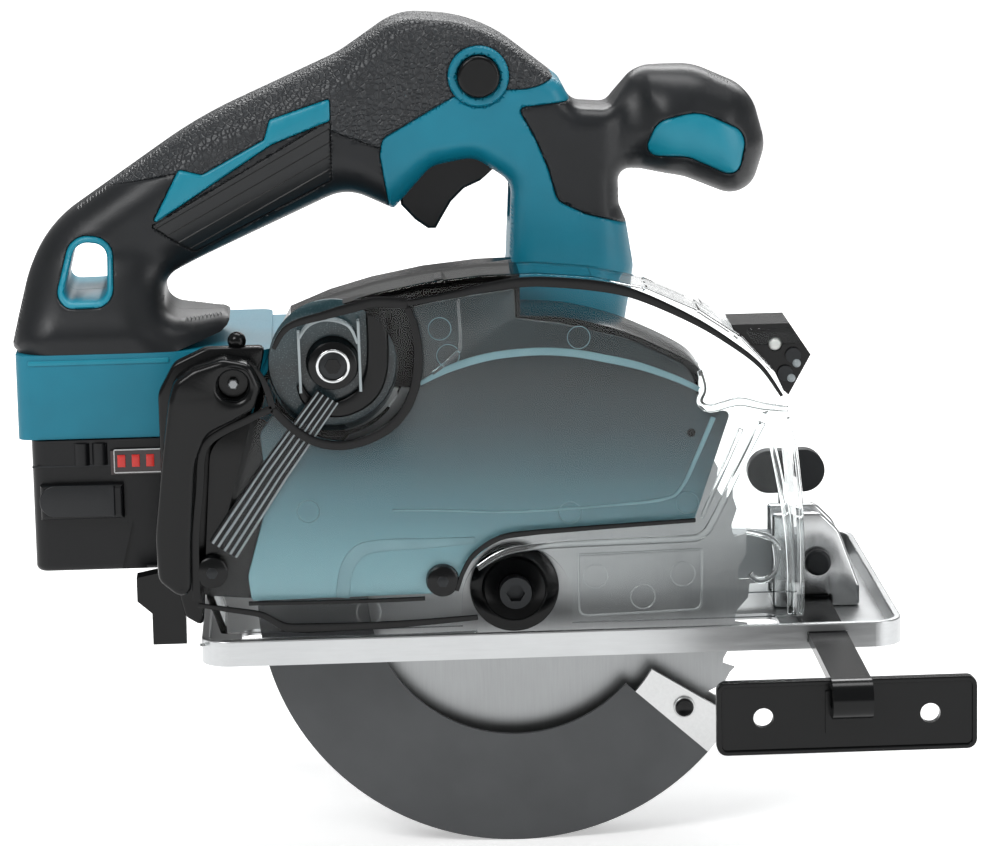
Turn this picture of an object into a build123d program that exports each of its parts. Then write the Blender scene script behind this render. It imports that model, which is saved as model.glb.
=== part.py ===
from build123d import *
import math
import os

# Battery circular saw for cutting metal, seen with its front towards +X.
# Millimetres. X is forward, Y runs across from the cover side (-Y) to the motor side (+Y), Z is up.
# Z = 0 is the underside of the base, X = 0 is the blade's axis, and Y = 0 is the middle of the base
# and the plane where the two halves of the handle meet.

# ---------------------------------------------------------------- driving dimensions
# Saw blade and arbor
blade_radius = 75.0
blade_thickness = 1.2
blade_bore_radius = 10.0
blade_teeth = 32
tooth_depth = 4.0
tooth_hook_deg = 5.0
blade_y = -42.0
arbor_z = 17.5

# Clearances
running_clearance = 0.05
face_clearance = 0.3
loose_clearance = 0.5

# Base
base_length = 218.0
base_width = 132.0
base_rear_x = -98.0
base_floor = 2.0
base_rim = 2.2
base_rim_height = 8.0
base_corner = 9.0
window_rear_x = -86.0
window_front_x = 84.0
window_width = 32.0

# Front pivot of the body on the base
pivot_x = 98.5
pivot_z = 17.0
pivot_pin_radius = 3.0
pivot_head_radius = 4.2
pivot_head = 3.0
pivot_arm_far = -6.5
pivot_arm_width = 9.4
pivot_arm_radius = 7.5
bracket_cheek = 4.0
bracket_rear_x = 84.0
bracket_front_x = 112.0
bracket_height = 31.0

# Depth guide
guide_radius = 161.0
guide_width = 16.0
guide_thickness = 3.0
guide_far = -21.0
guide_low_deg = 6.0
guide_high_deg = 31.0
depth_travel_deg = 28.0
depth_bolt_radius = 2.5
depth_lever_hub = 7.0
depth_lever_length = 32.0
depth_lever_thickness = 5.0

# Rip fence
fence_x = 96.0
fence_arm_width = 12.0
fence_arm_thickness = 3.0
fence_arm_far = 60.0
fence_plate_y = -118.5
fence_plate_length = 78.0
fence_plate_height = 22.4
fence_plate_thickness = 2.5
fence_plate_lip = 2.0
fence_plate_low = -18.0
fence_plate_corner = 3.0
curl_radius = 6.0
curl_reach = 9.0
patch_left_x = 88.5
patch_length = 10.5
patch_low_z = -12.0
patch_height = 13.0
patch_thickness = 0.8
fence_hole_spacing = 50.0
fence_hole_radius = 3.0
fence_screw_y = 48.0
fence_screw_radius = 2.5
fence_paddle_length = 26.0
fence_paddle_height = 14.4
fence_paddle_thickness = 5.0
fence_paddle_z = 33.0
clamp_height = 6.0
clamp_wall = 3.5

# Lower guard
guard_radius = 80.4
guard_wall = 1.6
guard_near = -51.0
guard_far = -33.4
guard_opening_radius = 46.0
guard_start_deg = 165.0
guard_end_deg = 318.0
tip_cap_deg = 10.0
tip_cap_inner_radius = 50.0
tip_cap_over = 0.6
guard_hub_radius = 20.0
guard_stop_radius = 24.0
guard_stop_deg = 5.0
stop_bumper_radius = 3.0
spring_radius = 17.5
spring_wire = 1.2
spring_turns = 2

# Gear train: spindle gear, intermediate pinion and gear, motor pinion
second_module = 0.9
spindle_teeth = 22
pinion_teeth = 15
first_module = 0.7
idler_teeth = 32
motor_teeth = 9
train_deg = 98.0
tooth_addendum = 0.75
tooth_dedendum = 1.0
tooth_share = 0.40
pressure_deg = 20.0
second_face = 7.5
second_far = -14.0
first_face = 5.0
first_far = -7.5
lock_boss_length = 19.0
lock_pin_radius = 3.5
lock_pin_boss_radius = 6.0
lock_pin_head_radius = 5.5
lock_pin_head = 4.0
lock_pin_play = 2.0
spindle_radius = 6.0
idler_shaft_radius = 2.5
rotor_shaft_radius = 2.4

# Bearings
spindle_bearing_radius = 9.5
spindle_bearing_width = 5.0
small_bearing_radius = 6.5
small_bearing_width = 4.5

# Gear case
case_wall = 2.4
nose_radius = 13.5
nose_near = -36.0
case_near = -27.0
case_far = -6.5
plate_far = -2.0

# Flanges and blade bolt
flange_radius = 14.0
inner_flange_radius = 12.0
flange_thickness = 3.9
flange_step_radius = 10.0
flange_step = 2.0
hub_fit = 0.03
blade_bolt_radius = 3.0
blade_bolt_head_radius = 5.0
blade_bolt_head = 5.0
socket_radius = 2.9
socket_depth = 3.0

# Motor
motor_radius = 34.0
motor_wall = 2.5
motor_far = 60.0
motor_cap_far = 78.0
motor_cap_vents = 16
motor_vent_width = 3.0
stator_inner_radius = 17.0
stator_near = 12.0
stator_length = 30.0
stator_teeth = 12
stator_yoke = 4.0
stator_tooth_width = 4.0
winding_length = 5.0
winding_wall = 8.0
air_gap = 0.5
fan_radius = 28.0
fan_y = 49.5
fan_width = 7.0
fan_blades = 9
fan_hub_radius = 7.0

# Blade case and chip cover
case_plate_far = -27.0
case_plate = 3.0
cover_split = -38.0
cover_near = -62.0
cover_wall = 2.2
cover_bottom_z = 9.5
cover_access_radius = 17.0
clear_front_x = 60.0
pocket_x = -55.0
pocket_z = 92.5
pocket_radius = 22.0
pocket_floor_y = -53.5
cover_bolt_head_radius = 6.0
cover_bolt_head = 5.5
cover_bolt_radius = 3.0
cover_boss_radius = 8.0
panel_thickness = 1.4
small_screw_radius = 1.6
small_screw_head_radius = 3.0
small_screw_head = 2.0

# Rear frame, chip door and latch
frame_far = -47.0
frame_near = -52.6
door_near = -66.0
door_pivot_x = -85.6
door_pivot_z = 87.9
door_lobe_radius = 7.7
door_pin_radius = 3.0
door_nut_radius = 4.6
door_nut_height = 3.5
latch_x = -100.0
latch_z = 29.0
latch_hub_radius = 5.0
latch_pin_radius = 2.0
latch_far = -39.0

# Lamp at the front of the cover
lamp_far = -36.0
lamp_near = -56.0
lamp_led_radius = 2.2
lamp_led_length = 3.0
lamp_x = 81.5
lamp_z = 91.5

# Handle
grip_half_width = 17.0
skin = 2.5
shell_wall = 2.5
skirt_half_width = 31.0
skirt_bottom_z = 93.0
skirt_front_x = -104.0
grip_edge_round = 4.5
grip_steps = 3
knob_half_width = 20.5
knob_edge_round = 10.0
knob_steps = 5
knob_side_share = 0.8
knob_wall = 3.5
inlay_half_width = 18.0
insert_depth = 1.5
insert_stand_out = 0.6
handle_screw_radius = 2.0
handle_screw_head_radius = 3.6
handle_screw_head = 2.5
screw_boss_radius = 4.2

# Controls in the handle
trigger_half_width = 7.0
trigger_pivot_x = -6.0
trigger_pivot_z = 150.0
trigger_pin_radius = 2.0
trigger_hub_radius = 4.0
trigger_pin_reach = 12.0
switch_gap = 5.0
plunger = 2.2
lock_button_x = -6.8
lock_button_z = 175.4
lock_button_radius = 6.6
lock_button_reach = 20.5
lock_boss_radius = 8.7
lock_boss_reach = 18.3
switch_half_width = 10.0

# Strap ring
strap_wall = 1.2

# Battery and its dock
battery_length = 114.0
battery_width = 75.0
battery_near = -32.5
battery_left_x = -150.0
battery_bottom_z = 24.0
battery_split_z = 58.0
battery_top_z = 66.0
battery_wall = 2.0
battery_edge = 4.0
battery_gap = 0.8
rail_neck_width = 45.0
rail_head_width = 55.0
rail_neck = 6.0
rail_head = 8.0
rail_near_gap = 4.0
rail_length = 88.0
cell_radius = 9.1
cell_length = 65.0
cell_pitch = 18.5
cell_rows = 5
cell_shelf = 1.0
gauge_left_x = -125.3
gauge_width = 25.0
gauge_low_z = 55.0
gauge_height = 7.6
gauge_thickness = 1.0
bumper_left_x = -147.5
bumper_length = 26.0
bumper_low_z = 41.3
bumper_height = 11.0
bumper_thickness = 3.0
bumper_edge = 1.2
notch_x = -119.0
notch_width = 8.5
notch_top_z = 40.0
notch_depth = 1.4
ridge_places = [-134.2, -128.6]
ridge_radius = 3.0
ridge_stand_out = 1.2
button_width = 24.0
button_height = 14.0
button_travel = 4.0
button_depth = 6.0
button_stand_out = 2.0
dock_wall = 4.0
dock_far = 46.0
dock_near = -31.5
beam_near = -12.0
beam_far = 40.0
beam_low_z = 70.0
beam_high_z = 92.0
board_thickness = 1.6
terminal_length = 20.0
terminal_height = 5.0

# ---------------------------------------------------------------- values that follow
window_x = (window_rear_x + window_front_x) / 2
base_x = base_rear_x + base_length / 2
pivot_arm_near = pivot_arm_far - pivot_arm_width
bracket_far = pivot_arm_far + face_clearance + bracket_cheek
bracket_near = pivot_arm_near - face_clearance - bracket_cheek
fence_arm_z = base_floor + 0.2
fence_arm_top = fence_arm_z + fence_arm_thickness
second_distance = second_module * (spindle_teeth + pinion_teeth) / 2
first_distance = first_module * (idler_teeth + motor_teeth) / 2
train_x = math.cos(math.radians(train_deg))
train_z = math.sin(math.radians(train_deg))
idler_x = second_distance * train_x
idler_z = arbor_z + second_distance * train_z
motor_x = idler_x + first_distance * train_x
motor_z = idler_z + first_distance * train_z
second_near = second_far - second_face
first_near = first_far - first_face
rear_seat = second_near - 0.6
spindle_tip = second_module * (spindle_teeth / 2 + tooth_addendum)
spindle_room = spindle_tip + loose_clearance
lock_pin_y = (second_near + second_far) / 2
lock_tooth = round((180 - train_deg) * spindle_teeth / 360 - 0.5) + 0.5
lock_gap_deg = train_deg + lock_tooth * 360 / spindle_teeth
lock_pin_z = arbor_z + spindle_tip * math.sin(math.radians(lock_gap_deg))
blade_near = blade_y - blade_thickness / 2
blade_far = blade_y + blade_thickness / 2
case_plate_near = case_plate_far - case_plate
depth_bolt_x = pivot_x - guide_radius
depth_bolt_z = pivot_z
guide_near = guide_far - guide_thickness
battery_far = battery_near + battery_length
battery_right_x = battery_left_x + battery_width
battery_x = battery_left_x + battery_width / 2
rail_near = battery_near + rail_near_gap
dock_bottom_z = battery_top_z + face_clearance
dock_left_x = battery_left_x - dock_wall
dock_right_x = battery_right_x + 1.0


# ---------------------------------------------------------------- shapes used again and again
CUT = Mode.SUBTRACT


def bar(x, z, radius, far, near, mode=Mode.ADD):
    """Round bar along Y, from y = far to y = near."""
    with BuildSketch(Plane.XZ.offset(-far)) as profile:
        with Locations((x, z)):
            Circle(radius)
    extrude(profile.sketch, amount=far - near, mode=mode)


def slab(points, far, near, mode=Mode.ADD, grow=0.0):
    """Plate with the given outline in X and Z, from y = far to y = near, grown or shrunk sideways."""
    with BuildSketch(Plane.XZ.offset(-far)) as profile:
        with BuildLine():
            Polyline(points, close=True)
        make_face()
        if grow:
            offset(amount=grow, kind=Kind.INTERSECTION)
    extrude(profile.sketch, amount=far - near, mode=mode)


def block(low, high, mode=Mode.ADD):
    """Box between two corners."""
    size = [b - a for a, b in zip(low, high)]
    middle = [(a + b) / 2 for a, b in zip(low, high)]
    with Locations(tuple(middle)):
        Box(*size, mode=mode)


def pie(radius, start_deg, end_deg, far, near, mode=Mode.ADD):
    """Sector about the arbor, from y = far to y = near."""
    with BuildSketch(Plane.XZ.offset(-far)) as profile:
        with BuildLine():
            arc = CenterArc((0, arbor_z), radius, start_deg, end_deg - start_deg)
            Line((0, arbor_z), arc @ 0)
            Line(arc @ 1, (0, arbor_z))
        make_face()
    extrude(profile.sketch, amount=far - near, mode=mode)


def gear_wheel(x, z, teeth, module, first_deg, far, near):
    """Spur gear about an axis along Y, with a tooth centred on first_deg."""
    pitch = teeth * module / 2
    base_circle = pitch * math.cos(math.radians(pressure_deg))
    root = pitch - tooth_dedendum * module
    tip = pitch + tooth_addendum * module
    half = tooth_share * math.pi / teeth
    roll = math.tan(math.radians(pressure_deg)) - math.radians(pressure_deg)

    def half_angle(radius):
        if radius <= base_circle:
            return half + roll
        angle = math.acos(base_circle / radius)
        return half + roll - (math.tan(angle) - angle)

    foot = max(base_circle, root)
    radii = [root] + [foot + (tip - foot) * step / 3 for step in range(4)]
    if foot == root:
        radii = radii[1:]
    points = []
    for tooth in range(teeth):
        centre = math.radians(first_deg) + 2 * math.pi * tooth / teeth
        flank = [(radius, centre - half_angle(radius)) for radius in radii]
        other = [(radius, centre + half_angle(radius)) for radius in reversed(radii)]
        for radius, angle in flank + other:
            points.append((x + radius * math.cos(angle), z + radius * math.sin(angle)))
    slab(points, far, near)


def save(piece, name):
    """Label a finished piece and write it."""
    piece.label = name
    export_step(piece, f"parts/{name}.step")


# ---------------------------------------------------------------- outlines shared by several pieces
# Side outline of the blade case and the chip cover
cover_outline = [
    (-92.0, cover_bottom_z), (-96.0, 21.0), (-77.0, 88.0), (-67.5, 106.0), (-55.0, 111.0),
    (-42.0, 114.6), (-26.0, 117.6), (-9.0, 119.3), (8.0, 119.6), (25.0, 118.0), (42.0, 114.0),
    (58.0, 106.6), (71.0, 97.6), (81.0, 86.5), (85.0, 77.6), (87.6, 64.8), (89.2, 48.6),
    (89.6, 32.5), (89.3, cover_bottom_z),
]

cover_rear_x = min(x for x, z in cover_outline) - 1
cover_front_x = max(x for x, z in cover_outline) + 1
cover_top_z = max(z for x, z in cover_outline) + 1

# Corners of the handle's side outline, each with its X, Z and rounding radius: from the heel over the
# top to the nose, down the front strut, round the trigger arch and back along the hand space
handle_corners = [
    (-155.8, skirt_bottom_z, 3.0), (-147.5, 127.3, 40.0), (-95.0, 162.6, 150.0), (-50.0, 182.2, 30.0),
    (-31.4, 194.1, 20.0), (-5.8, 192.1, 45.0), (22.0, 169.4, 6.0), (36.0, 163.0, 1.0), (36.5, 131.0, 8.0), (42.0, 112.0, 8.0), (38.0, 92.0, 8.0), (30.0, 66.0, 3.0),
    (24.0, 52.0, 1.0), (-20.0, 52.0, 1.0), (-24.0, 66.0, 3.0), (-20.0, 82.0, 6.0), (-4.0, 96.0, 8.0),
    (1.8, 114.0, 8.0), (3.2, 141.0, 7.0), (-8.5, 149.0, 8.0), (-22.0, 146.5, 8.0), (-34.2, 133.2, 1.0),
    (-48.7, 139.7, 14.0), (-107.2, 113.7, 7.0), (-107.2, 100.8, 6.0), (-84.5, 100.0, 0.5),
    (skirt_front_x + 8, skirt_bottom_z, 0.5),
]

# Region of the teal front body: everything in front of its joint with the black grip
front_region = [
    (-38.3, 152.6), (-37.7, 155.6), (-14.3, 169.1), (-14.0, 183.0), (2.0, 183.0), (17.5, 174.0),
    (60.0, 176.0),
    (60.0, 40.0), (-60.0, 40.0), (-40.0, 98.0), (-20.0, 120.0), (-35.5, 132.0),
]


def rounded_outline(corners):
    """Closed outline with every corner rounded by its own radius."""
    points = [corner[:2] for corner in corners]
    radii = [corner[2] for corner in corners]
    with BuildLine() as outline:
        FilletPolyline(*points, radius=radii, close=True)
    return outline.line


def handle_sketch(plane, inset=0.0, region=None, region_mode=Mode.INTERSECT):
    """Side outline of the handle and its front strut, drawn in by an inset, inside or outside a region."""
    with BuildSketch(plane) as profile:
        make_face(rounded_outline(handle_corners).edges())
        if inset:
            offset(amount=-inset)
        if region:
            with BuildLine(mode=Mode.PRIVATE) as border:
                Polyline(region, close=True)
            make_face(border.line.edges(), mode=region_mode)
    return profile.sketch


# Black grip of the front knob, running down the front of the body
inlay = [
    (40.0, 163.0), (21.0, 166.8), (5.4, 165.0), (10.0, 153.3), (16.0, 137.0), (18.6, 133.6), (33.8, 126.7),
    (36.4, 131.3), (40.0, 143.0),
]
knob_corners = [
    (36.0, 163.5, 0.5), (43.5, 175.6, 9.0), (62.0, 175.6, 20.0), (80.0, 167.5, 14.0), (84.5, 150.5, 12.0),
    (78.5, 132.0, 9.0), (58.0, 140.6, 16.0), (38.5, 143.2, 3.0), (36.5, 131.0, 0.5),
]
# Bean-shaped panel on each side of the knob
insert_corners = [
    (44.5, 148.6, 3.5), (49.0, 160.0, 7.0), (62.0, 163.0, 14.0), (77.5, 155.5, 6.0), (74.5, 140.8, 4.0),
    (58.5, 148.4, 12.0),
]
stripe = [
    (-110.0, 131.0), (-107.4, 137.3), (-101.5, 148.0), (-94.5, 146.2), (-74.2, 156.6), (-72.5, 163.1),
    (-53.5, 169.0), (-53.5, 163.3), (-93.7, 142.2), (-105.0, 135.0),
]
strap_hole = [(-138.6, 109.0), (-127.0, 109.6), (-126.0, 119.0), (-129.0, 124.2), (-134.0, 124.4),
              (-138.4, 118.6)]
handle_screws = [(-146.0, 101.0), (-120.0, 135.5), (-76.0, 149.0), (-28.0, 180.0), (28.0, 118.0),
                 (16.0, 90.0)]

os.makedirs("parts", exist_ok=True)

# ================================================================ base
with BuildPart() as base_plate:
    with BuildSketch() as sole:
        with Locations((base_x, 0)):
            RectangleRounded(base_length, base_width, base_corner)
    extrude(amount=base_rim_height)
    with BuildSketch(Plane.XY.offset(base_floor)) as tray:
        with Locations((base_x, 0)):
            RectangleRounded(base_length - 2 * base_rim, base_width - 2 * base_rim, base_corner - base_rim)
    extrude(amount=base_rim_height - base_floor, mode=CUT)
    with BuildSketch() as window:
        with Locations((window_x, blade_y)):
            RectangleRounded(window_front_x - window_rear_x, window_width, 4)
    extrude(amount=base_floor, mode=CUT)
    slot_half = fence_arm_width / 2 + face_clearance
    for side in (-1, 1):
        rim_y = side * (base_width / 2 - base_rim / 2)
        block((fence_x - slot_half, rim_y - base_rim, base_floor),
              (fence_x + slot_half, rim_y + base_rim, fence_arm_top + face_clearance), CUT)
    fillet(base_plate.faces().sort_by(Axis.Z)[-1].edges(), radius=base_rim / 4)
save(base_plate.part, "base_plate")

with BuildPart() as pivot_bracket:
    tunnel = fence_arm_width / 2 + face_clearance
    cheek = [
        (bracket_rear_x, base_floor), (fence_x - tunnel, base_floor),
        (fence_x - tunnel, fence_arm_top + face_clearance),
        (fence_x + tunnel, fence_arm_top + face_clearance),
        (fence_x + tunnel, base_floor), (bracket_front_x, base_floor), (bracket_front_x, 10.0),
        (bracket_front_x - 4.0, 15.0), (bracket_rear_x + 12.0, base_floor + bracket_height),
        (bracket_rear_x, base_floor + bracket_height),
    ]
    slab(cheek, bracket_near + bracket_cheek, bracket_near)
    slab(cheek, bracket_far, bracket_far - bracket_cheek)
    block((fence_x + tunnel, bracket_near, base_floor), (bracket_front_x, bracket_far, base_floor + 3.0))
    block((bracket_rear_x, bracket_near, base_floor), (fence_x - tunnel, bracket_far, base_floor + 3.0))
    bar(pivot_x, pivot_z, pivot_pin_radius + running_clearance, bracket_far, bracket_near, CUT)
save(pivot_bracket.part, "pivot_bracket")

with BuildPart() as pivot_pin:
    bar(pivot_x, pivot_z, pivot_pin_radius, bracket_far + 2.0, bracket_near)
    bar(pivot_x, pivot_z, pivot_head_radius, bracket_near, bracket_near - pivot_head)
    head_face = pivot_pin.faces().sort_by(Axis.Y)[0]
    fillet(head_face.edges(), radius=1.2)
save(pivot_pin.part, "pivot_pin")

with BuildPart() as depth_guide:
    with BuildSketch(Plane.XZ.offset(-guide_far)) as guide_profile:
        with BuildLine():
            sweep_deg = guide_high_deg + guide_low_deg
            outer_arc = CenterArc((pivot_x, pivot_z), guide_radius + guide_width / 2,
                                  180 - guide_high_deg, sweep_deg)
            inner_arc = CenterArc((pivot_x, pivot_z), guide_radius - guide_width / 2,
                                  180 - guide_high_deg, sweep_deg)
            Line(outer_arc @ 0, inner_arc @ 0)
            Line(outer_arc @ 1, inner_arc @ 1)
        make_face()
        with BuildLine() as slot_line:
            slot_arc = CenterArc((pivot_x, pivot_z), guide_radius, 180 - depth_travel_deg, depth_travel_deg)
        SlotArc(slot_arc, 2 * (depth_bolt_radius + 2 * running_clearance), mode=CUT)
    extrude(amount=guide_thickness)
    foot_x = pivot_x - guide_radius * math.cos(math.radians(guide_low_deg))
    block((foot_x - guide_width, guide_near - 20, base_floor - 40),
          (foot_x + guide_width, guide_far + 20, base_floor),
          CUT)
    block((foot_x - guide_width / 2, guide_far, base_floor),
          (foot_x + guide_width / 2, guide_far + 10, base_floor + 2.5))
save(depth_guide.part, "depth_guide")

with BuildPart() as fence_clamp:
    leg = fence_arm_width / 2 + face_clearance
    block((fence_x - leg - clamp_wall, fence_screw_y - 6, base_floor),
          (fence_x + leg + clamp_wall, fence_screw_y + 6, fence_arm_top + face_clearance + clamp_height))
    block((fence_x - leg, fence_screw_y - 6, base_floor),
          (fence_x + leg, fence_screw_y + 6, fence_arm_top + face_clearance), CUT)
    with Locations((fence_x, fence_screw_y, fence_arm_top + face_clearance + clamp_height)):
        Hole(fence_screw_radius + running_clearance)
save(fence_clamp.part, "fence_clamp")

with BuildPart() as fence_screw:
    with BuildSketch(Plane.XY.offset(fence_arm_top + face_clearance)):
        with Locations((fence_x, fence_screw_y)):
            Circle(fence_screw_radius)
    extrude(amount=fence_paddle_z - fence_arm_top - face_clearance)
    with BuildSketch(Plane.XZ.offset(-(fence_screw_y + fence_paddle_thickness / 2))):
        with Locations((fence_x, fence_paddle_z)):
            SlotOverall(fence_paddle_length, fence_paddle_height)
    extrude(amount=fence_paddle_thickness)
save(fence_screw.part, "fence_screw")

# ---------------------------------------------------------------- rip fence
plate_low = fence_plate_low
plate_high = fence_plate_low + fence_plate_height
plate_near = fence_plate_y - fence_plate_thickness
curl_middle_y = plate_near - curl_reach + curl_radius
curl_middle_z = fence_arm_top - curl_radius
with BuildPart() as rip_fence:
    block((fence_x - fence_arm_width / 2, fence_plate_y, fence_arm_z),
          (fence_x + fence_arm_width / 2, fence_arm_far, fence_arm_top))
    with BuildSketch(Plane.YZ.offset(fence_x - fence_arm_width / 2)) as curl:
        with Locations((curl_middle_y, curl_middle_z)):
            Circle(curl_radius)
        with Locations(((curl_middle_y + fence_plate_y) / 2, curl_middle_z)):
            Rectangle(fence_plate_y - curl_middle_y, 2 * curl_radius)
        with Locations((curl_middle_y, curl_middle_z)):
            Circle(curl_radius - fence_arm_thickness, mode=CUT)
        with Locations(((curl_middle_y + fence_plate_y) / 2, curl_middle_z)):
            Rectangle(fence_plate_y - curl_middle_y, 2 * (curl_radius - fence_arm_thickness), mode=CUT)
    extrude(curl.sketch, amount=fence_arm_width)
    left = fence_x - 1.0 - fence_plate_length / 2
    right = left + fence_plate_length
    with BuildSketch(Plane.XZ.offset(-fence_plate_y)) as plate:
        with Locations(((left + right) / 2, (plate_low + plate_high) / 2)):
            RectangleRounded(fence_plate_length, fence_plate_height, fence_plate_corner)
    extrude(plate.sketch, amount=fence_plate_thickness)
    lip_left = left + fence_plate_corner
    lip_right = right - fence_plate_corner
    block((lip_left, fence_plate_y, plate_low),
          (lip_right, fence_plate_y + fence_plate_lip, plate_low + 1.6))
    block((patch_left_x, plate_near - patch_thickness, patch_low_z),
          (patch_left_x + patch_length, plate_near, patch_low_z + patch_height))
    for side in (-1, 1):
        bar((left + right) / 2 + side * fence_hole_spacing / 2, (plate_low + plate_high) / 2,
            fence_hole_radius,
            fence_plate_y, plate_near, CUT)
save(rip_fence.part, "rip_fence")

# ================================================================ blade unit
with BuildPart() as blade:
    points = []
    for tooth in range(blade_teeth):
        turn = -2 * math.pi * tooth / blade_teeth
        pitch = 2 * math.pi / blade_teeth
        hook = math.radians(tooth_hook_deg) * tooth_depth / blade_radius
        for radius, share in ((blade_radius, 0.0), (blade_radius - 0.8, 0.14), (blade_radius - 1.0, 0.42),
                              (blade_radius - tooth_depth, 0.72), (blade_radius - tooth_depth - 0.4, 0.88)):
            angle = turn - share * pitch
            points.append((radius * math.cos(angle), arbor_z + radius * math.sin(angle)))
        foot = turn - 0.99 * pitch - hook
        points.append(((blade_radius - tooth_depth) * math.cos(foot),
                       arbor_z + (blade_radius - tooth_depth) * math.sin(foot)))
    slab(points, blade_far, blade_near)
    bar(0, arbor_z, blade_bore_radius, blade_far, blade_near, CUT)
save(blade.part, "blade")

with BuildPart() as inner_flange:
    bar(0, arbor_z, inner_flange_radius, blade_far + flange_thickness, blade_far)
    bar(0, arbor_z, blade_bore_radius - hub_fit, blade_far, blade_near - flange_step)
    bar(0, arbor_z, spindle_radius + hub_fit, blade_far + flange_thickness, blade_near - flange_step, CUT)
save(inner_flange.part, "inner_flange")

with BuildPart() as outer_flange:
    bar(0, arbor_z, flange_radius, blade_near, blade_near - flange_thickness)
    bar(0, arbor_z, blade_bore_radius, blade_near - flange_thickness,
        blade_near - flange_thickness - flange_step)
    bar(0, arbor_z, blade_bore_radius + hub_fit, blade_near, blade_near - flange_step - 0.2, CUT)
    bar(0, arbor_z, blade_bolt_radius + running_clearance, blade_near, blade_near - 10, CUT)
    rims = outer_flange.edges().filter_by(GeomType.CIRCLE).sort_by(SortBy.RADIUS)[-2:]
    chamfer(rims.sort_by(Axis.Y)[0], length=1.0)
save(outer_flange.part, "outer_flange")

bolt_seat = blade_near - flange_thickness - flange_step
with BuildPart() as blade_bolt:
    bar(0, arbor_z, blade_bolt_radius, bolt_seat + 18, bolt_seat)
    bar(0, arbor_z, blade_bolt_head_radius, bolt_seat, bolt_seat - blade_bolt_head)
    with BuildSketch(Plane.XZ.offset(-(bolt_seat - blade_bolt_head))):
        with Locations((0, arbor_z)):
            RegularPolygon(socket_radius, 6)
    extrude(amount=-socket_depth, mode=CUT)
save(blade_bolt.part, "blade_bolt")

spindle_near = blade_near - flange_step
with BuildPart() as spindle:
    bar(0, arbor_z, spindle_radius, second_far, spindle_near)
    gear_wheel(0, arbor_z, spindle_teeth, second_module, train_deg, second_far, second_near)
    bar(0, arbor_z, blade_bolt_radius + running_clearance, bolt_seat + 19, spindle_near, CUT)
save(spindle.part, "spindle")

# ================================================================ intermediate shaft and rotor
# A gap of each follower faces a tooth of the gear that drives it.
pinion_first_deg = train_deg + 180 + 180 / pinion_teeth
with BuildPart() as idler_shaft:
    bar(idler_x, idler_z, idler_shaft_radius, first_far + 5.0, second_near - 5.0)
    gear_wheel(idler_x, idler_z, pinion_teeth, second_module, pinion_first_deg, second_far, second_near)
    gear_wheel(idler_x, idler_z, idler_teeth, first_module, train_deg, first_far, first_near)
save(idler_shaft.part, "idler_shaft")

with BuildPart() as rotor_shaft:
    bar(motor_x, motor_z, rotor_shaft_radius, motor_far + small_bearing_width, first_near - 0.5)
    gear_wheel(motor_x, motor_z, motor_teeth, first_module, train_deg + 180 + 180 / motor_teeth,
               first_far, first_near)
save(rotor_shaft.part, "rotor_shaft")

with BuildPart() as rotor_core:
    bar(motor_x, motor_z, stator_inner_radius - air_gap, stator_near + stator_length, stator_near)
    bar(motor_x, motor_z, rotor_shaft_radius, stator_near + stator_length, stator_near, CUT)
save(rotor_core.part, "rotor_core")

with BuildPart() as cooling_fan:
    bar(motor_x, motor_z, fan_radius, fan_y + fan_width, fan_y + fan_width - 1.5)
    bar(motor_x, motor_z, fan_hub_radius, fan_y + fan_width, fan_y)
    with BuildSketch(Plane.XZ.offset(-(fan_y + fan_width - 1.5))):
        with Locations((motor_x, motor_z)):
            with PolarLocations((fan_hub_radius + fan_radius) / 2 - 0.5, fan_blades):
                Rectangle(fan_radius - fan_hub_radius + 0.4, 1.6, rotation=18)
    extrude(amount=fan_width - 1.5)
    bar(motor_x, motor_z, fan_radius, fan_y + fan_width, fan_y, Mode.INTERSECT)
    bar(motor_x, motor_z, rotor_shaft_radius, fan_y + fan_width, fan_y, CUT)
save(cooling_fan.part, "cooling_fan")

# ---------------------------------------------------------------- bearings
bearing_places = [
    (0, arbor_z, spindle_radius, spindle_bearing_radius, nose_near + 0.5, spindle_bearing_width),
    (0, arbor_z, spindle_radius, spindle_bearing_radius, rear_seat - spindle_bearing_width,
     spindle_bearing_width),
    (idler_x, idler_z, idler_shaft_radius, small_bearing_radius, rear_seat - small_bearing_width,
     small_bearing_width),
    (idler_x, idler_z, idler_shaft_radius, small_bearing_radius, case_far, small_bearing_width),
    (motor_x, motor_z, rotor_shaft_radius, small_bearing_radius, case_far, small_bearing_width),
    (motor_x, motor_z, rotor_shaft_radius, small_bearing_radius, motor_far, small_bearing_width),
]
with BuildPart() as bearings:
    for x, z, shaft, outer, near, width in bearing_places:
        bar(x, z, outer, near + width, near)
        bar(x, z, shaft + running_clearance, near + width, near, CUT)
save(bearings.part, "bearings")

# ================================================================ gear case
idler_room = first_module * (idler_teeth / 2 + tooth_addendum) + loose_clearance
pinion_room = second_module * (pinion_teeth / 2 + tooth_addendum) + loose_clearance
motor_pinion_room = first_module * (motor_teeth / 2 + tooth_addendum) + loose_clearance


def train_outline(far, near, grow, mode=Mode.ADD):
    """Rounded body round the three shafts."""
    bar(0, arbor_z, spindle_room + grow, far, near, mode)
    bar(idler_x, idler_z, idler_room + grow, far, near, mode)
    bar(motor_x, motor_z, small_bearing_radius + 2 + grow, far, near, mode)


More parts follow.
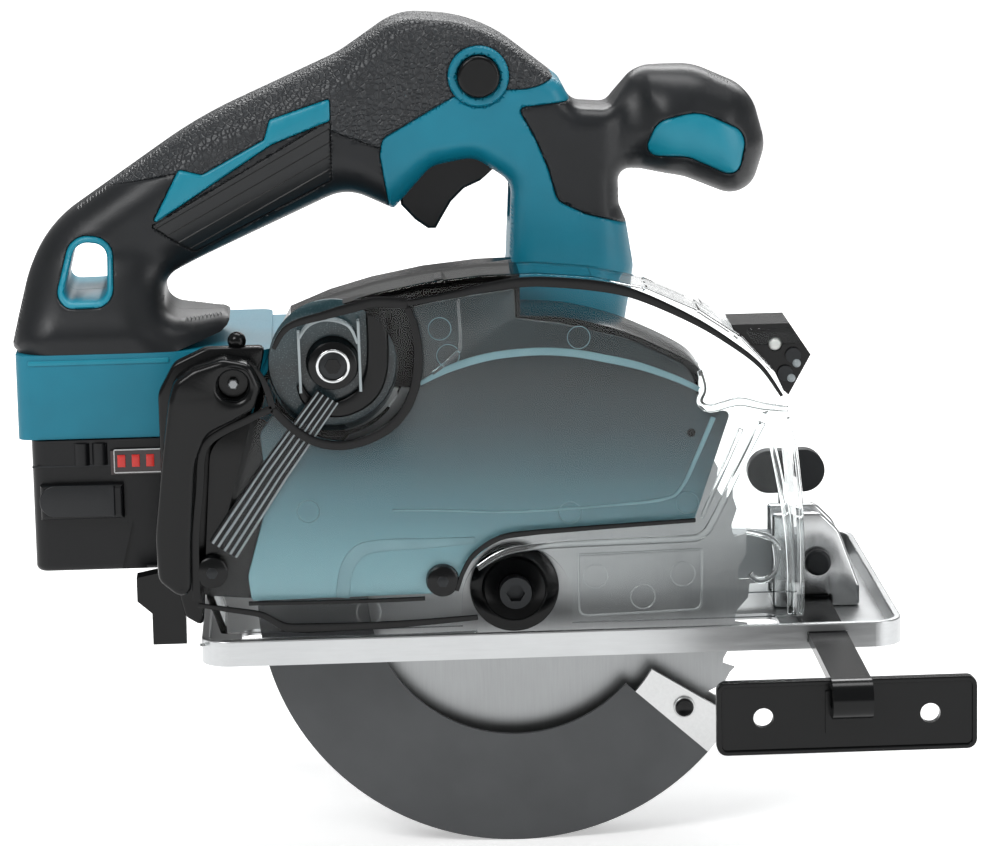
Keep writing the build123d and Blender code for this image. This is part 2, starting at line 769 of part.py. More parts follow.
with BuildPart() as gear_case:
    train_outline(case_far, case_near, case_wall)
    bar(0, arbor_z, nose_radius, case_near, nose_near)
    arm = [
        (8.0, arbor_z - pivot_arm_radius), (pivot_x, pivot_z - pivot_arm_radius),
        (pivot_x, pivot_z + pivot_arm_radius), (60.0, pivot_z + pivot_arm_radius + 2),
        (14.0, arbor_z + 22.0),
        (0.0, arbor_z + 24.0),
    ]
    slab(arm, pivot_arm_far, pivot_arm_near)
    bar(pivot_x, pivot_z, pivot_arm_radius, pivot_arm_far, pivot_arm_near)
    bar(pivot_x, pivot_z, pivot_pin_radius + running_clearance, pivot_arm_far, pivot_arm_near, CUT)
    with BuildSketch(Plane.YZ.offset(-lock_boss_length)):
        with Locations((lock_pin_y, lock_pin_z)):
            Circle(lock_pin_boss_radius)
    extrude(amount=lock_boss_length - spindle_room)
    bar(0, arbor_z, spindle_room, case_far, rear_seat, CUT)
    bar(0, arbor_z, spindle_bearing_radius, rear_seat, nose_near, CUT)
    bar(idler_x, idler_z, idler_room, case_far, first_near - 0.6, CUT)
    bar(idler_x, idler_z, pinion_room, case_far, rear_seat, CUT)
    bar(idler_x, idler_z, small_bearing_radius, rear_seat, rear_seat - small_bearing_width, CUT)
    bar(motor_x, motor_z, motor_pinion_room, case_far, first_near - 1.2, CUT)
    with BuildSketch(Plane.YZ.offset(-lock_boss_length)):
        with Locations((lock_pin_y, lock_pin_z)):
            Circle(lock_pin_radius + running_clearance)
    extrude(amount=lock_boss_length, mode=CUT)
save(gear_case.part, "gear_case")

with BuildPart() as bearing_plate:
    train_outline(plate_far, case_far, case_wall)
    bar(motor_x, motor_z, motor_radius, plate_far, plate_far - 2.0)
    bar(motor_x, motor_z, small_bearing_radius, plate_far, case_far, CUT)
    bar(idler_x, idler_z, small_bearing_radius, plate_far, case_far, CUT)
save(bearing_plate.part, "bearing_plate")

# The lock's blade stands in front of a gap between two teeth of the spindle gear.
with BuildPart() as shaft_lock:
    head_left = -lock_boss_length - lock_pin_head - lock_pin_play
    with BuildSketch(Plane.YZ.offset(head_left)):
        with Locations((lock_pin_y, lock_pin_z)):
            Circle(lock_pin_head_radius)
    extrude(amount=lock_pin_head)
    with BuildSketch(Plane.YZ.offset(head_left)):
        with Locations((lock_pin_y, lock_pin_z)):
            Circle(lock_pin_radius)
    extrude(amount=-head_left - spindle_room - 1.0)
    block((-spindle_room - 1.5, lock_pin_y - 2.6, lock_pin_z - 0.5),
          (-spindle_tip - 0.6, lock_pin_y + 2.6, lock_pin_z + 0.5))
save(shaft_lock.part, "shaft_lock")

# ================================================================ motor
with BuildPart() as motor_housing:
    bar(motor_x, motor_z, motor_radius, motor_far, plate_far)
    bar(motor_x, motor_z, motor_radius - motor_wall, motor_far, plate_far, CUT)
save(motor_housing.part, "motor_housing")

with BuildPart() as motor_end_cap:
    bar(motor_x, motor_z, motor_radius, motor_cap_far, motor_far)
    fillet(motor_end_cap.faces().sort_by(Axis.Y)[-1].edges(), radius=6)
    bar(motor_x, motor_z, motor_radius - motor_wall, motor_cap_far - motor_wall - 5, motor_far, CUT)
    bar(motor_x, motor_z, small_bearing_radius + 3, motor_cap_far - motor_wall - 5, motor_far)
    bar(motor_x, motor_z, small_bearing_radius, motor_far + small_bearing_width, motor_far, CUT)
    with BuildSketch(Plane.XZ.offset(-motor_cap_far)):
        with Locations((motor_x, motor_z)):
            with PolarLocations(motor_radius * 0.55, motor_cap_vents):
                SlotOverall(motor_radius * 0.35, motor_vent_width)
    extrude(amount=motor_wall + 6, mode=CUT)
save(motor_end_cap.part, "motor_end_cap")

stator_outer = motor_radius - motor_wall
with BuildPart() as stator:
    bar(motor_x, motor_z, stator_outer, stator_near + stator_length, stator_near)
    bar(motor_x, motor_z, stator_outer - stator_yoke, stator_near + stator_length, stator_near, CUT)
    with BuildSketch(Plane.XZ.offset(-stator_near - stator_length)):
        with Locations((motor_x, motor_z)):
            with PolarLocations((stator_inner_radius + stator_outer - 1) / 2, stator_teeth):
                Rectangle(stator_outer - 1 - stator_inner_radius, stator_tooth_width)
    extrude(amount=stator_length)
    bar(motor_x, motor_z, stator_inner_radius, stator_near + stator_length, stator_near, CUT)
save(stator.part, "stator")

with BuildPart() as windings:
    ring_outer = stator_outer - stator_yoke
    for far in (stator_near, stator_near + stator_length + winding_length):
        bar(motor_x, motor_z, ring_outer, far, far - winding_length)
        bar(motor_x, motor_z, ring_outer - winding_wall, far, far - winding_length, CUT)
save(windings.part, "windings")

# ================================================================ lower guard
guard_slot_far = guard_far - guard_wall
guard_slot_near = guard_near + guard_wall
guard_bore = nose_radius + running_clearance
with BuildPart() as guard_shell:
    pie(guard_radius, guard_start_deg, guard_end_deg, guard_far, guard_near)
    pie(guard_radius - guard_wall, guard_start_deg - 5, guard_end_deg + 5, guard_slot_far,
        guard_slot_near, CUT)
    bar(0, arbor_z, guard_opening_radius, guard_slot_near, guard_near, CUT)
    bar(0, arbor_z, guard_hub_radius, guard_far, guard_slot_far)
    tab_end = 360 + guard_stop_deg - math.degrees(stop_bumper_radius / guard_stop_radius) - 1.0
    pie(guard_stop_radius + stop_bumper_radius, guard_end_deg - 5, tab_end, guard_far, guard_slot_far)
    bar(0, arbor_z, guard_bore, guard_far, guard_slot_far, CUT)
save(guard_shell.part, "guard_shell")

cap_end_deg = guard_end_deg + tip_cap_deg
rivet_radius = (tip_cap_inner_radius + guard_radius) / 2
rivet_angle = math.radians(guard_end_deg + tip_cap_deg * 0.55)
rivet_x = rivet_radius * math.cos(rivet_angle)
rivet_z = arbor_z + rivet_radius * math.sin(rivet_angle)
with BuildPart() as guard_tip:
    pie(guard_radius, guard_end_deg, cap_end_deg, guard_far, guard_near)
    bar(0, arbor_z, tip_cap_inner_radius, guard_far, guard_near, CUT)
    with BuildPart(mode=Mode.PRIVATE) as slot_for_blade:
        bar(0, arbor_z, guard_radius - guard_wall, guard_slot_far, guard_slot_near)
    add(slot_for_blade.part, mode=CUT)
    bar(rivet_x, rivet_z, 3.4, guard_slot_near, guard_near - 1.2)
    fillet(guard_tip.faces().sort_by(Axis.Y)[0].edges(), radius=0.6)
save(guard_tip.part, "guard_tip")

stop_x = guard_stop_radius * math.cos(math.radians(guard_stop_deg))
stop_z = arbor_z + guard_stop_radius * math.sin(math.radians(guard_stop_deg))
with BuildPart() as guard_spring:
    spring_middle = (guard_far + case_plate_near) / 2
    for turn in range(spring_turns):
        with BuildSketch(Plane.YZ):
            with Locations((spring_middle + (turn - 0.5) * spring_wire * 1.05, arbor_z + spring_radius)):
                Circle(spring_wire / 2)
        revolve(axis=Axis((0, 0, arbor_z), (0, 1, 0)))
save(guard_spring.part, "guard_spring")

# ================================================================ blade case and chip cover
with BuildPart() as blade_case:
    slab(cover_outline, case_plate_far, cover_split)
    slab(cover_outline, case_plate_near, cover_split, CUT, grow=-cover_wall)
    block((-90.0, cover_split, 0),
          (cover_outline[-1][0] - cover_wall, case_plate_near, cover_bottom_z + 5), CUT)
    bar(pocket_x, pocket_z, cover_boss_radius, case_plate_near, pocket_floor_y + cover_wall)
    bar(pocket_x, pocket_z, cover_bolt_radius, case_plate_far, pocket_floor_y, CUT)
    bar(stop_x, stop_z, stop_bumper_radius, case_plate_near, guard_slot_far)
    bar(0, arbor_z, nose_radius + running_clearance, case_plate_far, case_plate_near, CUT)
    bar(depth_bolt_x, depth_bolt_z, depth_bolt_radius, case_plate_far, case_plate_near, CUT)
    block((cover_outline[1][0] - 1, battery_near - battery_gap, 0),
          (dock_right_x + battery_gap, case_plate_far, skirt_bottom_z + battery_gap), CUT)
    block((clear_front_x, cover_split, 0), (cover_front_x, case_plate_far, cover_top_z), CUT)
save(blade_case.part, "blade_case")

with BuildPart() as clear_cover:
    slab(cover_outline, case_plate_far, cover_split)
    block((cover_rear_x, cover_split, 0), (clear_front_x, case_plate_far, cover_top_z), CUT)
    slab(cover_outline, case_plate_far - cover_wall, cover_split, CUT, grow=-cover_wall)
    block((clear_front_x, cover_split, 0),
          (cover_outline[-1][0] - cover_wall, case_plate_far - cover_wall, cover_bottom_z + 5), CUT)
    slab(cover_outline, cover_split, cover_near)
    rim_edges = clear_cover.faces().sort_by(Axis.Y)[0].edges()
    fillet(rim_edges.filter_by(lambda edge: edge.center().Z > cover_bottom_z + 1), radius=cover_wall * 0.9)
    slab(cover_outline, cover_split, cover_near + cover_wall, CUT, grow=-cover_wall)
    block((-90.0, cover_near + cover_wall, 0),
          (cover_outline[-1][0] - cover_wall, cover_split, cover_bottom_z + 5),
          CUT)
    with BuildSketch(Plane.XZ.offset(-(pocket_floor_y + cover_wall))) as pocket:
        with BuildLine():
            Polyline(cover_outline, close=True)
        make_face()
        with Locations((pocket_x, pocket_z)):
            Circle(pocket_radius, mode=Mode.INTERSECT)
    extrude(pocket.sketch, amount=pocket_floor_y + cover_wall - cover_near)
    bar(pocket_x, pocket_z, pocket_radius - cover_wall, pocket_floor_y, cover_near, CUT)
    bar(pocket_x, pocket_z, cover_bolt_radius + running_clearance, pocket_floor_y + cover_wall,
        pocket_floor_y,
        CUT)
    block((-cover_access_radius, cover_near, 0), (cover_access_radius, cover_near + cover_wall, arbor_z),
          CUT)
    bar(0, arbor_z, cover_access_radius, cover_near + cover_wall, cover_near, CUT)
save(clear_cover.part, "clear_cover")

with BuildPart() as tinted_panel:
    panel = [
        (-78.0, 15.0), (-59.0, 72.0), (-44.0, 72.0), (-34.0, 79.0), (-31.0, 88.0), (-17.0, 94.0),
        (12.5, 98.0),
        (28.0, 97.0), (43.0, 92.0), (58.0, 86.7), (69.0, 79.7), (56.8, 46.7), (28.0, 44.5), (-1.0, 41.0),
        (-15.0, 28.5), (-24.0, 22.5), (-24.0, 15.0),
    ]
    panel_far = cover_near + cover_wall + panel_thickness
    slab(panel, panel_far, cover_near + cover_wall)
    bar(pocket_x, pocket_z, pocket_radius + face_clearance, panel_far, cover_near, CUT)
save(tinted_panel.part, "tinted_panel")

with BuildPart() as cover_bolt:
    bar(pocket_x, pocket_z, cover_bolt_radius, case_plate_far, pocket_floor_y)
    bar(pocket_x, pocket_z, cover_bolt_head_radius, pocket_floor_y, pocket_floor_y - cover_bolt_head)
    with BuildSketch(Plane.XZ.offset(-(pocket_floor_y - cover_bolt_head))):
        with Locations((pocket_x, pocket_z)):
            RegularPolygon(socket_radius, 6)
    extrude(amount=-socket_depth, mode=CUT)
save(cover_bolt.part, "cover_bolt")

# ---------------------------------------------------------------- rear frame, chip door, latch
frame_outline = [
    (-97.0, cover_bottom_z), (-103.0, 13.0), (-109.0, 40.0), (-109.0, 84.0), (-104.0, 92.0), (-94.0, 96.0),
    (-76.0, 96.0), (-70.0, 92.0), (-74.0, 76.0), (-84.0, 40.0), (-84.0, cover_bottom_z),
]
with BuildPart() as rear_frame:
    slab(frame_outline, frame_far, frame_near)
    slab(cover_outline, frame_far, frame_near, CUT, grow=running_clearance)
    bar(door_pivot_x, door_pivot_z, door_pin_radius, frame_near, door_near)
    bar(door_pivot_x, door_pivot_z, door_nut_radius, door_near, door_near - door_nut_height)
    bar(latch_x, latch_z, latch_pin_radius, latch_far, frame_far)
save(rear_frame.part, "rear_frame")

door_outline = [
    (-101.1, 21.5), (-99.5, 51.5), (-98.0, 67.2), (-94.6, 78.1), (-88.0, 80.7), (-85.0, 95.4),
    (-93.9, 98.3),
    (-104.1, 94.9), (-108.0, 88.8), (-108.6, 70.7), (-111.1, 45.6), (-111.7, 27.3),
]
with BuildPart() as chip_door:
    slab(door_outline, frame_near - face_clearance, door_near + face_clearance)
    bar(door_pivot_x, door_pivot_z, door_lobe_radius, frame_near - face_clearance,
        door_near + face_clearance)
    bar(door_pivot_x, door_pivot_z, door_pin_radius + running_clearance, frame_near, door_near, CUT)
    near_face = chip_door.faces().sort_by(Axis.Y)[0]
    chamfer(near_face.edges().filter_by(GeomType.LINE), length=1.5)
save(chip_door.part, "chip_door")

latch_outline = [
    (latch_x + 2.0, latch_z), (latch_x - 3.0, 12.5), (latch_x - 3.0, 3.0), (latch_x - 13.5, 3.0),
    (latch_x - 13.5, 13.0), (latch_x - 18.0, 17.0), (latch_x - 18.0, 24.5), (latch_x - 8.0, 26.5),
    (latch_x - 4.0, latch_z + 2.0),
]
with BuildPart() as chip_latch:
    slab(latch_outline, latch_far - face_clearance, frame_far + face_clearance)
    bar(latch_x, latch_z, latch_hub_radius, latch_far - face_clearance, frame_far + face_clearance)
    bar(latch_x, latch_z, latch_pin_radius + running_clearance, latch_far, frame_far, CUT)
save(chip_latch.part, "chip_latch")

# ---------------------------------------------------------------- lamp and small screws
lamp_outline = [(68.0, 101.0), (86.0, 101.0), (92.5, 91.0), (85.5, 78.5), (80.0, 84.0), (70.0, 95.0)]
lamp_screw_places = [(87.0, 91.0), (84.5, 85.5)]
with BuildPart() as lamp_housing:
    slab(lamp_outline, lamp_far, lamp_near)
    slab(cover_outline, lamp_far, lamp_near, CUT, grow=running_clearance)
    bar(lamp_x, lamp_z + 3.0, lamp_led_radius, lamp_near + lamp_led_length, lamp_near, CUT)
    for x, z in lamp_screw_places:
        bar(x, z, small_screw_radius, lamp_near + 6.0, lamp_near, CUT)
save(lamp_housing.part, "lamp_housing")

with BuildPart() as lamp_led:
    bar(lamp_x, lamp_z + 3.0, lamp_led_radius, lamp_near + lamp_led_length, lamp_near)
    fillet(lamp_led.faces().sort_by(Axis.Y)[0].edges(), radius=1.5)
save(lamp_led.part, "lamp_led")

panel_screw = (-22.5, 24.5)
with BuildPart() as cover_screws:
    for x, z in lamp_screw_places:
        bar(x, z, small_screw_radius, lamp_near + 6.0, lamp_near)
        bar(x, z, small_screw_radius + 0.8, lamp_near, lamp_near - 1.2)
    screw_seat = cover_near + cover_wall
    bar(*panel_screw, small_screw_head_radius, screw_seat + panel_thickness + small_screw_head,
        screw_seat + panel_thickness)
save(cover_screws.part, "cover_screws")

# ================================================================ depth bolt and lever
with BuildPart() as depth_bolt:
    lever_far = guide_far + face_clearance + depth_lever_thickness
    bar(depth_bolt_x, depth_bolt_z, depth_bolt_radius, lever_far + 2.5, case_plate_near)
    bar(depth_bolt_x, depth_bolt_z, depth_bolt_radius + 2.0, lever_far + 3.5, lever_far + face_clearance)
    bar(depth_bolt_x, depth_bolt_z, depth_bolt_radius + 2.0, guide_near - face_clearance, case_plate_far)
save(depth_bolt.part, "depth_bolt")

with BuildPart() as depth_lever:
    bar(depth_bolt_x, depth_bolt_z, depth_lever_hub, lever_far, guide_far + face_clearance)
    lever = [
        (depth_bolt_x - depth_lever_hub, depth_bolt_z),
        (depth_bolt_x - 4.5, depth_bolt_z + depth_lever_length),
        (depth_bolt_x + 4.5, depth_bolt_z + depth_lever_length),
        (depth_bolt_x + depth_lever_hub, depth_bolt_z),
    ]
    slab(lever, lever_far, guide_far + face_clearance)
    block((depth_bolt_x - 4.5, guide_far + face_clearance, depth_bolt_z + depth_lever_length - 5.0),
          (depth_bolt_x + 4.5, lever_far + 10.0, depth_bolt_z + depth_lever_length))
    bar(depth_bolt_x, depth_bolt_z, depth_bolt_radius + running_clearance, lever_far, guide_far, CUT)
save(depth_lever.part, "depth_lever")

# ================================================================ handle
def half(side, depth):
    """Y limits of a layer from the middle plane out to the given depth: side is -1 near, +1 far."""
    return (0, -depth) if side < 0 else (depth, 0)


def layer(side, low, high):
    """Y limits of a layer between two depths on one side."""
    return (-low, -high) if side < 0 else (high, low)


def handle_slab(side, depth, inset=0.0, region=None, region_mode=Mode.INTERSECT, mode=Mode.ADD):
    """Half of the handle's outline, out to the given depth."""
    far, near = half(side, depth)
    profile = handle_sketch(Plane.XZ.offset(-far), inset, region, region_mode)
    extrude(profile, amount=far - near, mode=mode)


def edge_steps(edge, steps):
    """Steps of a rounded edge: how far each is set back from the side face and in from the outline."""
    turns = [math.radians(90 * step / steps) for step in range(steps + 1)]
    return [(edge * (1 - math.sin(turn)), edge * (1 - math.cos(turn))) for turn in turns]


def handle_half(side, region=None, region_mode=Mode.INTERSECT):
    """Half of the handle's outline to its full width, with stepped round edges."""
    for back, inset in edge_steps(grip_edge_round, grip_steps):
        handle_slab(side, grip_half_width - back, inset, region, region_mode)


def handle_shell(side):
    """Hollow half of the handle and its front strut."""
    with BuildPart() as shell:
        handle_slab(side, grip_half_width - skin, inset=skin)
        handle_half(side, region=front_region)
        bar(lock_button_x, lock_button_z, lock_boss_radius, *half(side, lock_boss_reach))
        handle_slab(side, grip_half_width - skin - shell_wall, inset=skin + shell_wall, mode=CUT)
        for x, z in handle_screws:
            bar(x, z, screw_boss_radius, *half(side, grip_half_width - skin - shell_wall))
            bar(x, z, handle_screw_radius, *half(side, grip_half_width), CUT)
            if side > 0:
                bar(x, z, handle_screw_head_radius, *layer(side, head_seat, grip_half_width), CUT)
        for x, low in switch_ribs:
            far, near = half(side, grip_half_width - skin - shell_wall)
            block((x - 1.5, near, low), (x + 1.5, far, switch_low))
        slab(trigger_room, *half(side, trigger_half_width + loose_clearance), CUT)
        if side > 0:
            bar(*trigger_pivot, trigger_pin_radius + running_clearance, trigger_pin_reach, 0, CUT)
        else:
            bar(*trigger_pivot, trigger_pin_radius, trigger_pin_reach, -trigger_pin_reach)
        bar(lock_button_x, lock_button_z, button_hole, *half(side, lock_boss_reach), CUT)
        slab(strap_hole, *half(side, grip_half_width), CUT, grow=strap_wall)
        train_outline(plate_far, -grip_half_width, case_wall, CUT)
        bar(motor_x, motor_z, motor_radius, grip_half_width, plate_far - 2.0, CUT)
        block((0.0, pivot_arm_near, 0.0), (60.0, pivot_arm_far, arbor_z + 24.0), CUT)
    return shell


button_hole = lock_button_radius + running_clearance
trigger_pivot = (trigger_pivot_x, trigger_pivot_z)
trigger_room_z = trigger_pivot_z + trigger_hub_radius + loose_clearance
switch_low = trigger_pivot_z + switch_gap
switch_ribs = [(-42.5, trigger_pivot_z - 7.5), (-19.0, trigger_pivot_z + 0.5)]
head_seat = grip_half_width - skin - handle_screw_head
trigger_room = [
    (-37.5, 130.0), (-33.0, 124.0), (-10.0, 122.0), (2.5, 130.0), (3.0, 144.0), (1.0, trigger_room_z),
    (-37.0, trigger_room_z),
]
handle_shell_near = handle_shell(-1)
save(handle_shell_near.part, "handle_shell_near")
handle_shell_far = handle_shell(1)
save(handle_shell_far.part, "handle_shell_far")


def grip_skin(side):
    """Soft black layer over the rear and top of the handle, flared out to the battery dock at its foot."""
    with BuildPart() as grip:
        handle_half(side, region=front_region, region_mode=CUT)
        with BuildPart(mode=Mode.PRIVATE) as skirt:
            handle_slab(side, skirt_half_width)
            block((skirt_front_x, -60, 0), (60, 60, 250), CUT)
            wedge = [(side * (skirt_half_width + 1), skirt_bottom_z + 8), (side * grip_half_width, 120.0),
                     (side * grip_half_width, 250.0), (side * (skirt_half_width + 1), 250.0)]
            with BuildSketch(Plane.YZ.offset(-160)) as cut:
                with BuildLine():
                    Polyline(wedge, close=True)
                make_face()
            extrude(cut.sketch, amount=120, mode=CUT)
        add(skirt.part)
        handle_slab(side, grip_half_width - skin, inset=skin, mode=CUT)
        bar(lock_button_x, lock_button_z, lock_boss_radius, *half(side, grip_half_width + 1), CUT)
        slab(trigger_room, *half(side, trigger_half_width + loose_clearance), CUT)
        slab(strap_hole, *half(side, skirt_half_width), CUT, grow=strap_wall)
        slab(stripe, *layer(side, grip_half_width - insert_depth, grip_half_width), CUT)
        if side > 0:
            for x, z in handle_screws:
                bar(x, z, handle_screw_head_radius + 0.4, *half(side, skirt_half_width), CUT)
    return grip


grip_skin_near = grip_skin(-1)
save(grip_skin_near.part, "grip_skin_near")
grip_skin_far = grip_skin(1)
save(grip_skin_far.part, "grip_skin_far")

with BuildPart() as grip_stripes:
    for side in (-1, 1):
        slab(stripe, *layer(side, grip_half_width - insert_depth, grip_half_width + 0.4))
save(grip_stripes.part, "grip_stripes")

with BuildPart() as strap_ring:
    slab(strap_hole, grip_half_width + 1.0, -grip_half_width - 1.0, grow=strap_wall)
    slab(strap_hole, grip_half_width + 1.0, -grip_half_width - 1.0, CUT)
save(strap_ring.part, "strap_ring")

# ---------------------------------------------------------------- front knob
def knob_slab(side, depth, inset=0.0, mode=Mode.ADD):
    """Half of the front knob's outline, out to the given depth."""
    far, near = half(side, depth)
    with BuildSketch(Plane.XZ.offset(-far)) as profile:
        make_face(rounded_outline(knob_corners).edges())
        if inset:
            offset(amount=-inset)
    extrude(profile.sketch, amount=far - near, mode=mode)


def knob_insert(side, stand_out, mode=Mode.ADD):
    """Bean-shaped panel let into one side of the knob, standing out a little."""
    far, near = layer(side, knob_half_width - insert_depth, knob_half_width + stand_out)
    with BuildSketch(Plane.XZ.offset(-far)) as panel:
        make_face(rounded_outline(insert_corners).edges())
    extrude(panel.sketch, amount=far - near, mode=mode)


def front_grip(side):
    """Hollow half of the front knob with the soft inlay that runs down the front of the body."""
    with BuildPart() as grip:
        for back, inset in edge_steps(knob_edge_round, knob_steps):
            knob_slab(side, knob_half_width - back, inset * knob_side_share)
        knob_slab(side, knob_half_width - knob_edge_round, inset=knob_wall, mode=CUT)
        slab(inlay, *layer(side, grip_half_width, inlay_half_width))
        knob_insert(side, 0.0, mode=CUT)
    return grip


front_grip_near = front_grip(-1)
save(front_grip_near.part, "front_grip_near")
front_grip_far = front_grip(1)
save(front_grip_far.part, "front_grip_far")

with BuildPart() as knob_inserts:
    for side in (-1, 1):
        knob_insert(side, insert_stand_out)
save(knob_inserts.part, "knob_inserts")

with BuildPart() as handle_screw_set:
    for x, z in handle_screws:
        bar(x, z, handle_screw_radius, head_seat, -10.0)
        bar(x, z, handle_screw_head_radius, head_seat + handle_screw_head, head_seat)
save(handle_screw_set.part, "handle_screws")

# ================================================================ controls in the handle
trigger_outline = [
    (-31.8, 134.0), (-27.4, 129.1), (-23.4, 126.2), (-20.9, 126.2), (-19.0, 129.5), (-15.9, 134.6),
    (-11.7, 138.7),
    (-6.5, 141.0), (-1.0, 146.0), (-1.0, 151.0), (-30.0, 148.5), (-32.5, 142.0),
]
with BuildPart() as trigger:
    slab(trigger_outline, trigger_half_width, -trigger_half_width)
    bar(*trigger_pivot, trigger_hub_radius, trigger_half_width, -trigger_half_width)
    bar(*trigger_pivot, trigger_pin_radius + running_clearance, trigger_half_width, -trigger_half_width,
        CUT)
    chamfer(trigger.faces().filter_by(Axis.Y).edges().filter_by(lambda edge: edge.center().Z < 140),
            length=0.8)
save(trigger.part, "trigger")

with BuildPart() as trigger_switch:
    block((-46.0, -switch_half_width, switch_low), (-16.0, switch_half_width, switch_low + 15.0))
    block((-29.0, -3.0, switch_low - plunger), (-24.0, 3.0, switch_low))
save(trigger_switch.part, "trigger_switch")

with BuildPart() as lock_button:
    bar(lock_button_x, lock_button_z, lock_button_radius, lock_button_reach, -lock_button_reach)
    ends = lock_button.faces().filter_by(Axis.Y).edges()
    fillet(ends, radius=1.0)
save(lock_button.part, "lock_button")

# ================================================================ battery dock
with BuildPart() as battery_dock:
    block((dock_left_x, dock_near, dock_bottom_z), (dock_right_x, dock_far, skirt_bottom_z))
    fillet(battery_dock.edges().filter_by(Axis.Z), radius=battery_edge)
    block((dock_right_x - 1.0, beam_near, beam_low_z), (motor_x, beam_far, beam_high_z))
    bar(motor_x, motor_z, motor_radius, beam_far, plate_far - 2.0, CUT)
    block((motor_x - 26.0, beam_near, beam_low_z), (motor_x, plate_far, beam_high_z), CUT)
    block((-26.0, beam_near, beam_low_z), (motor_x, grip_half_width + face_clearance, beam_high_z), CUT)
    neck = rail_neck_width / 2 + face_clearance
    head = rail_head_width / 2 + face_clearance
    neck_top = battery_top_z + rail_neck
    head_top = neck_top + rail_head + face_clearance
    block((battery_x - neck, rail_near - face_clearance, dock_bottom_z),
          (battery_x + neck, dock_far, head_top), CUT)
    block((battery_x - head, rail_near - face_clearance, neck_top - face_clearance),
          (battery_x + head, dock_far, head_top), CUT)
    block((battery_x - terminal_length / 2, rail_near + 4.0, head_top),
          (battery_x + terminal_length / 2, rail_near + 4.0 + terminal_length,
           head_top + terminal_height), CUT)
    board_low = beam_low_z + 6.0
    block((dock_right_x + 3.0, beam_near + 12.0, board_low), (-42.0, beam_far - 6.0, board_low + 8.0), CUT)
save(battery_dock.part, "battery_dock")

with BuildPart() as dock_terminals:
    block((battery_x - terminal_length / 2, rail_near + 4.0, head_top),
          (battery_x + terminal_length / 2, rail_near + 4.0 + terminal_length, head_top + terminal_height))
save(dock_terminals.part, "dock_terminals")

with BuildPart() as control_board:
    block((dock_right_x + 4.0, beam_near + 13.0, board_low),
          (-43.0, beam_far - 7.0, board_low + board_thickness))
    for x in (-66.0, -60.0, -54.0):
        block((x, 6.0, board_low + board_thickness), (x + 4.0, 14.0, board_low + board_thickness + 2.5))
save(control_board.part, "control_board")

# ================================================================ battery
button_left = battery_x - button_width / 2
button_high = battery_top_z - 0.5
button_low = button_high - button_height
button_room = face_clearance
shelf_z = battery_bottom_z + battery_wall + 2 * cell_radius + face_clearance + cell_shelf
with BuildPart() as battery_lower_case:
    block((battery_left_x, battery_near, battery_bottom_z), (battery_right_x, battery_far, battery_split_z))
    fillet(battery_lower_case.edges().filter_by(Axis.Z), radius=battery_edge)
    fillet(battery_lower_case.faces().sort_by(Axis.Z)[0].edges(), radius=battery_edge / 2)
    block((bumper_left_x, battery_near - bumper_thickness, bumper_low_z),
          (bumper_left_x + bumper_length, battery_near, bumper_low_z + bumper_height))
    fillet(battery_lower_case.faces().sort_by(Axis.Y)[0].edges(), radius=bumper_edge)
    block((battery_left_x + battery_wall, battery_near + battery_wall, battery_bottom_z + battery_wall),
          (battery_right_x - battery_wall, battery_far - button_depth - battery_wall, battery_split_z), CUT)
    block((button_left - button_room, battery_far - button_depth, button_low - button_travel - button_room),
          (button_left + button_width + button_room, battery_far, battery_split_z), CUT)
    block((battery_left_x + battery_wall, battery_near + battery_wall, shelf_z - cell_shelf),
          (battery_right_x - battery_wall, battery_far - button_depth - battery_wall, shelf_z))
    notch = [(notch_x - notch_width / 2, battery_bottom_z - 1), (notch_x, notch_top_z),
             (notch_x + notch_width / 2, battery_bottom_z - 1)]
    slab(notch, battery_near + notch_depth, battery_near, CUT)
save(battery_lower_case.part, "battery_lower_case")

with BuildPart() as battery_upper_case:
    block((battery_left_x, battery_near, battery_split_z), (battery_right_x, battery_far, battery_top_z))
    fillet(battery_upper_case.edges().filter_by(Axis.Z), radius=battery_edge)
    block((battery_x - rail_neck_width / 2, rail_near, battery_top_z),
          (battery_x + rail_neck_width / 2, rail_near + rail_length, battery_top_z + rail_neck))
    block((battery_x - rail_head_width / 2, rail_near, battery_top_z + rail_neck),
          (battery_x + rail_head_width / 2, rail_near + rail_length, battery_top_z + rail_neck + rail_head))
    block((battery_left_x + battery_wall, battery_near + battery_wall, battery_split_z),
          (battery_right_x - battery_wall, battery_far - button_depth - battery_wall,
           battery_top_z - battery_wall), CUT)
    block((button_left - button_room, battery_far - button_depth, battery_split_z),
          (button_left + button_width + button_room, battery_far, battery_top_z), CUT)
    with BuildSketch(Plane.XY.offset(battery_split_z)) as ridges:
        with Locations(*[(x, battery_near + ridge_radius - ridge_stand_out) for x in ridge_places]):
            Circle(ridge_radius)
        with Locations((battery_x, battery_near + battery_wall + ridge_radius)):
            Rectangle(battery_width, 2 * ridge_radius, mode=CUT)
    extrude(ridges.sketch, amount=battery_top_z - battery_split_z - 1.0)
save(battery_upper_case.part, "battery_upper_case")

with BuildPart() as battery_cells:
    for row in range(cell_rows):
        for floor_z in (battery_bottom_z + battery_wall, shelf_z):
            cell_y = battery_near + battery_wall + cell_radius + 1.0 + row * cell_pitch
            cell_z = floor_z + cell_radius
            with BuildSketch(Plane.YZ.offset(battery_x - cell_length / 2)) as cell:
                with Locations((cell_y, cell_z)):
                    Circle(cell_radius)
            extrude(cell.sketch, amount=cell_length)
save(battery_cells.part, "battery_cells")

with BuildPart() as battery_gauge:
    block((gauge_left_x, battery_near - gauge_thickness, gauge_low_z),
          (gauge_left_x + gauge_width, battery_near, gauge_low_z + gauge_height))
save(battery_gauge.part, "battery_gauge")

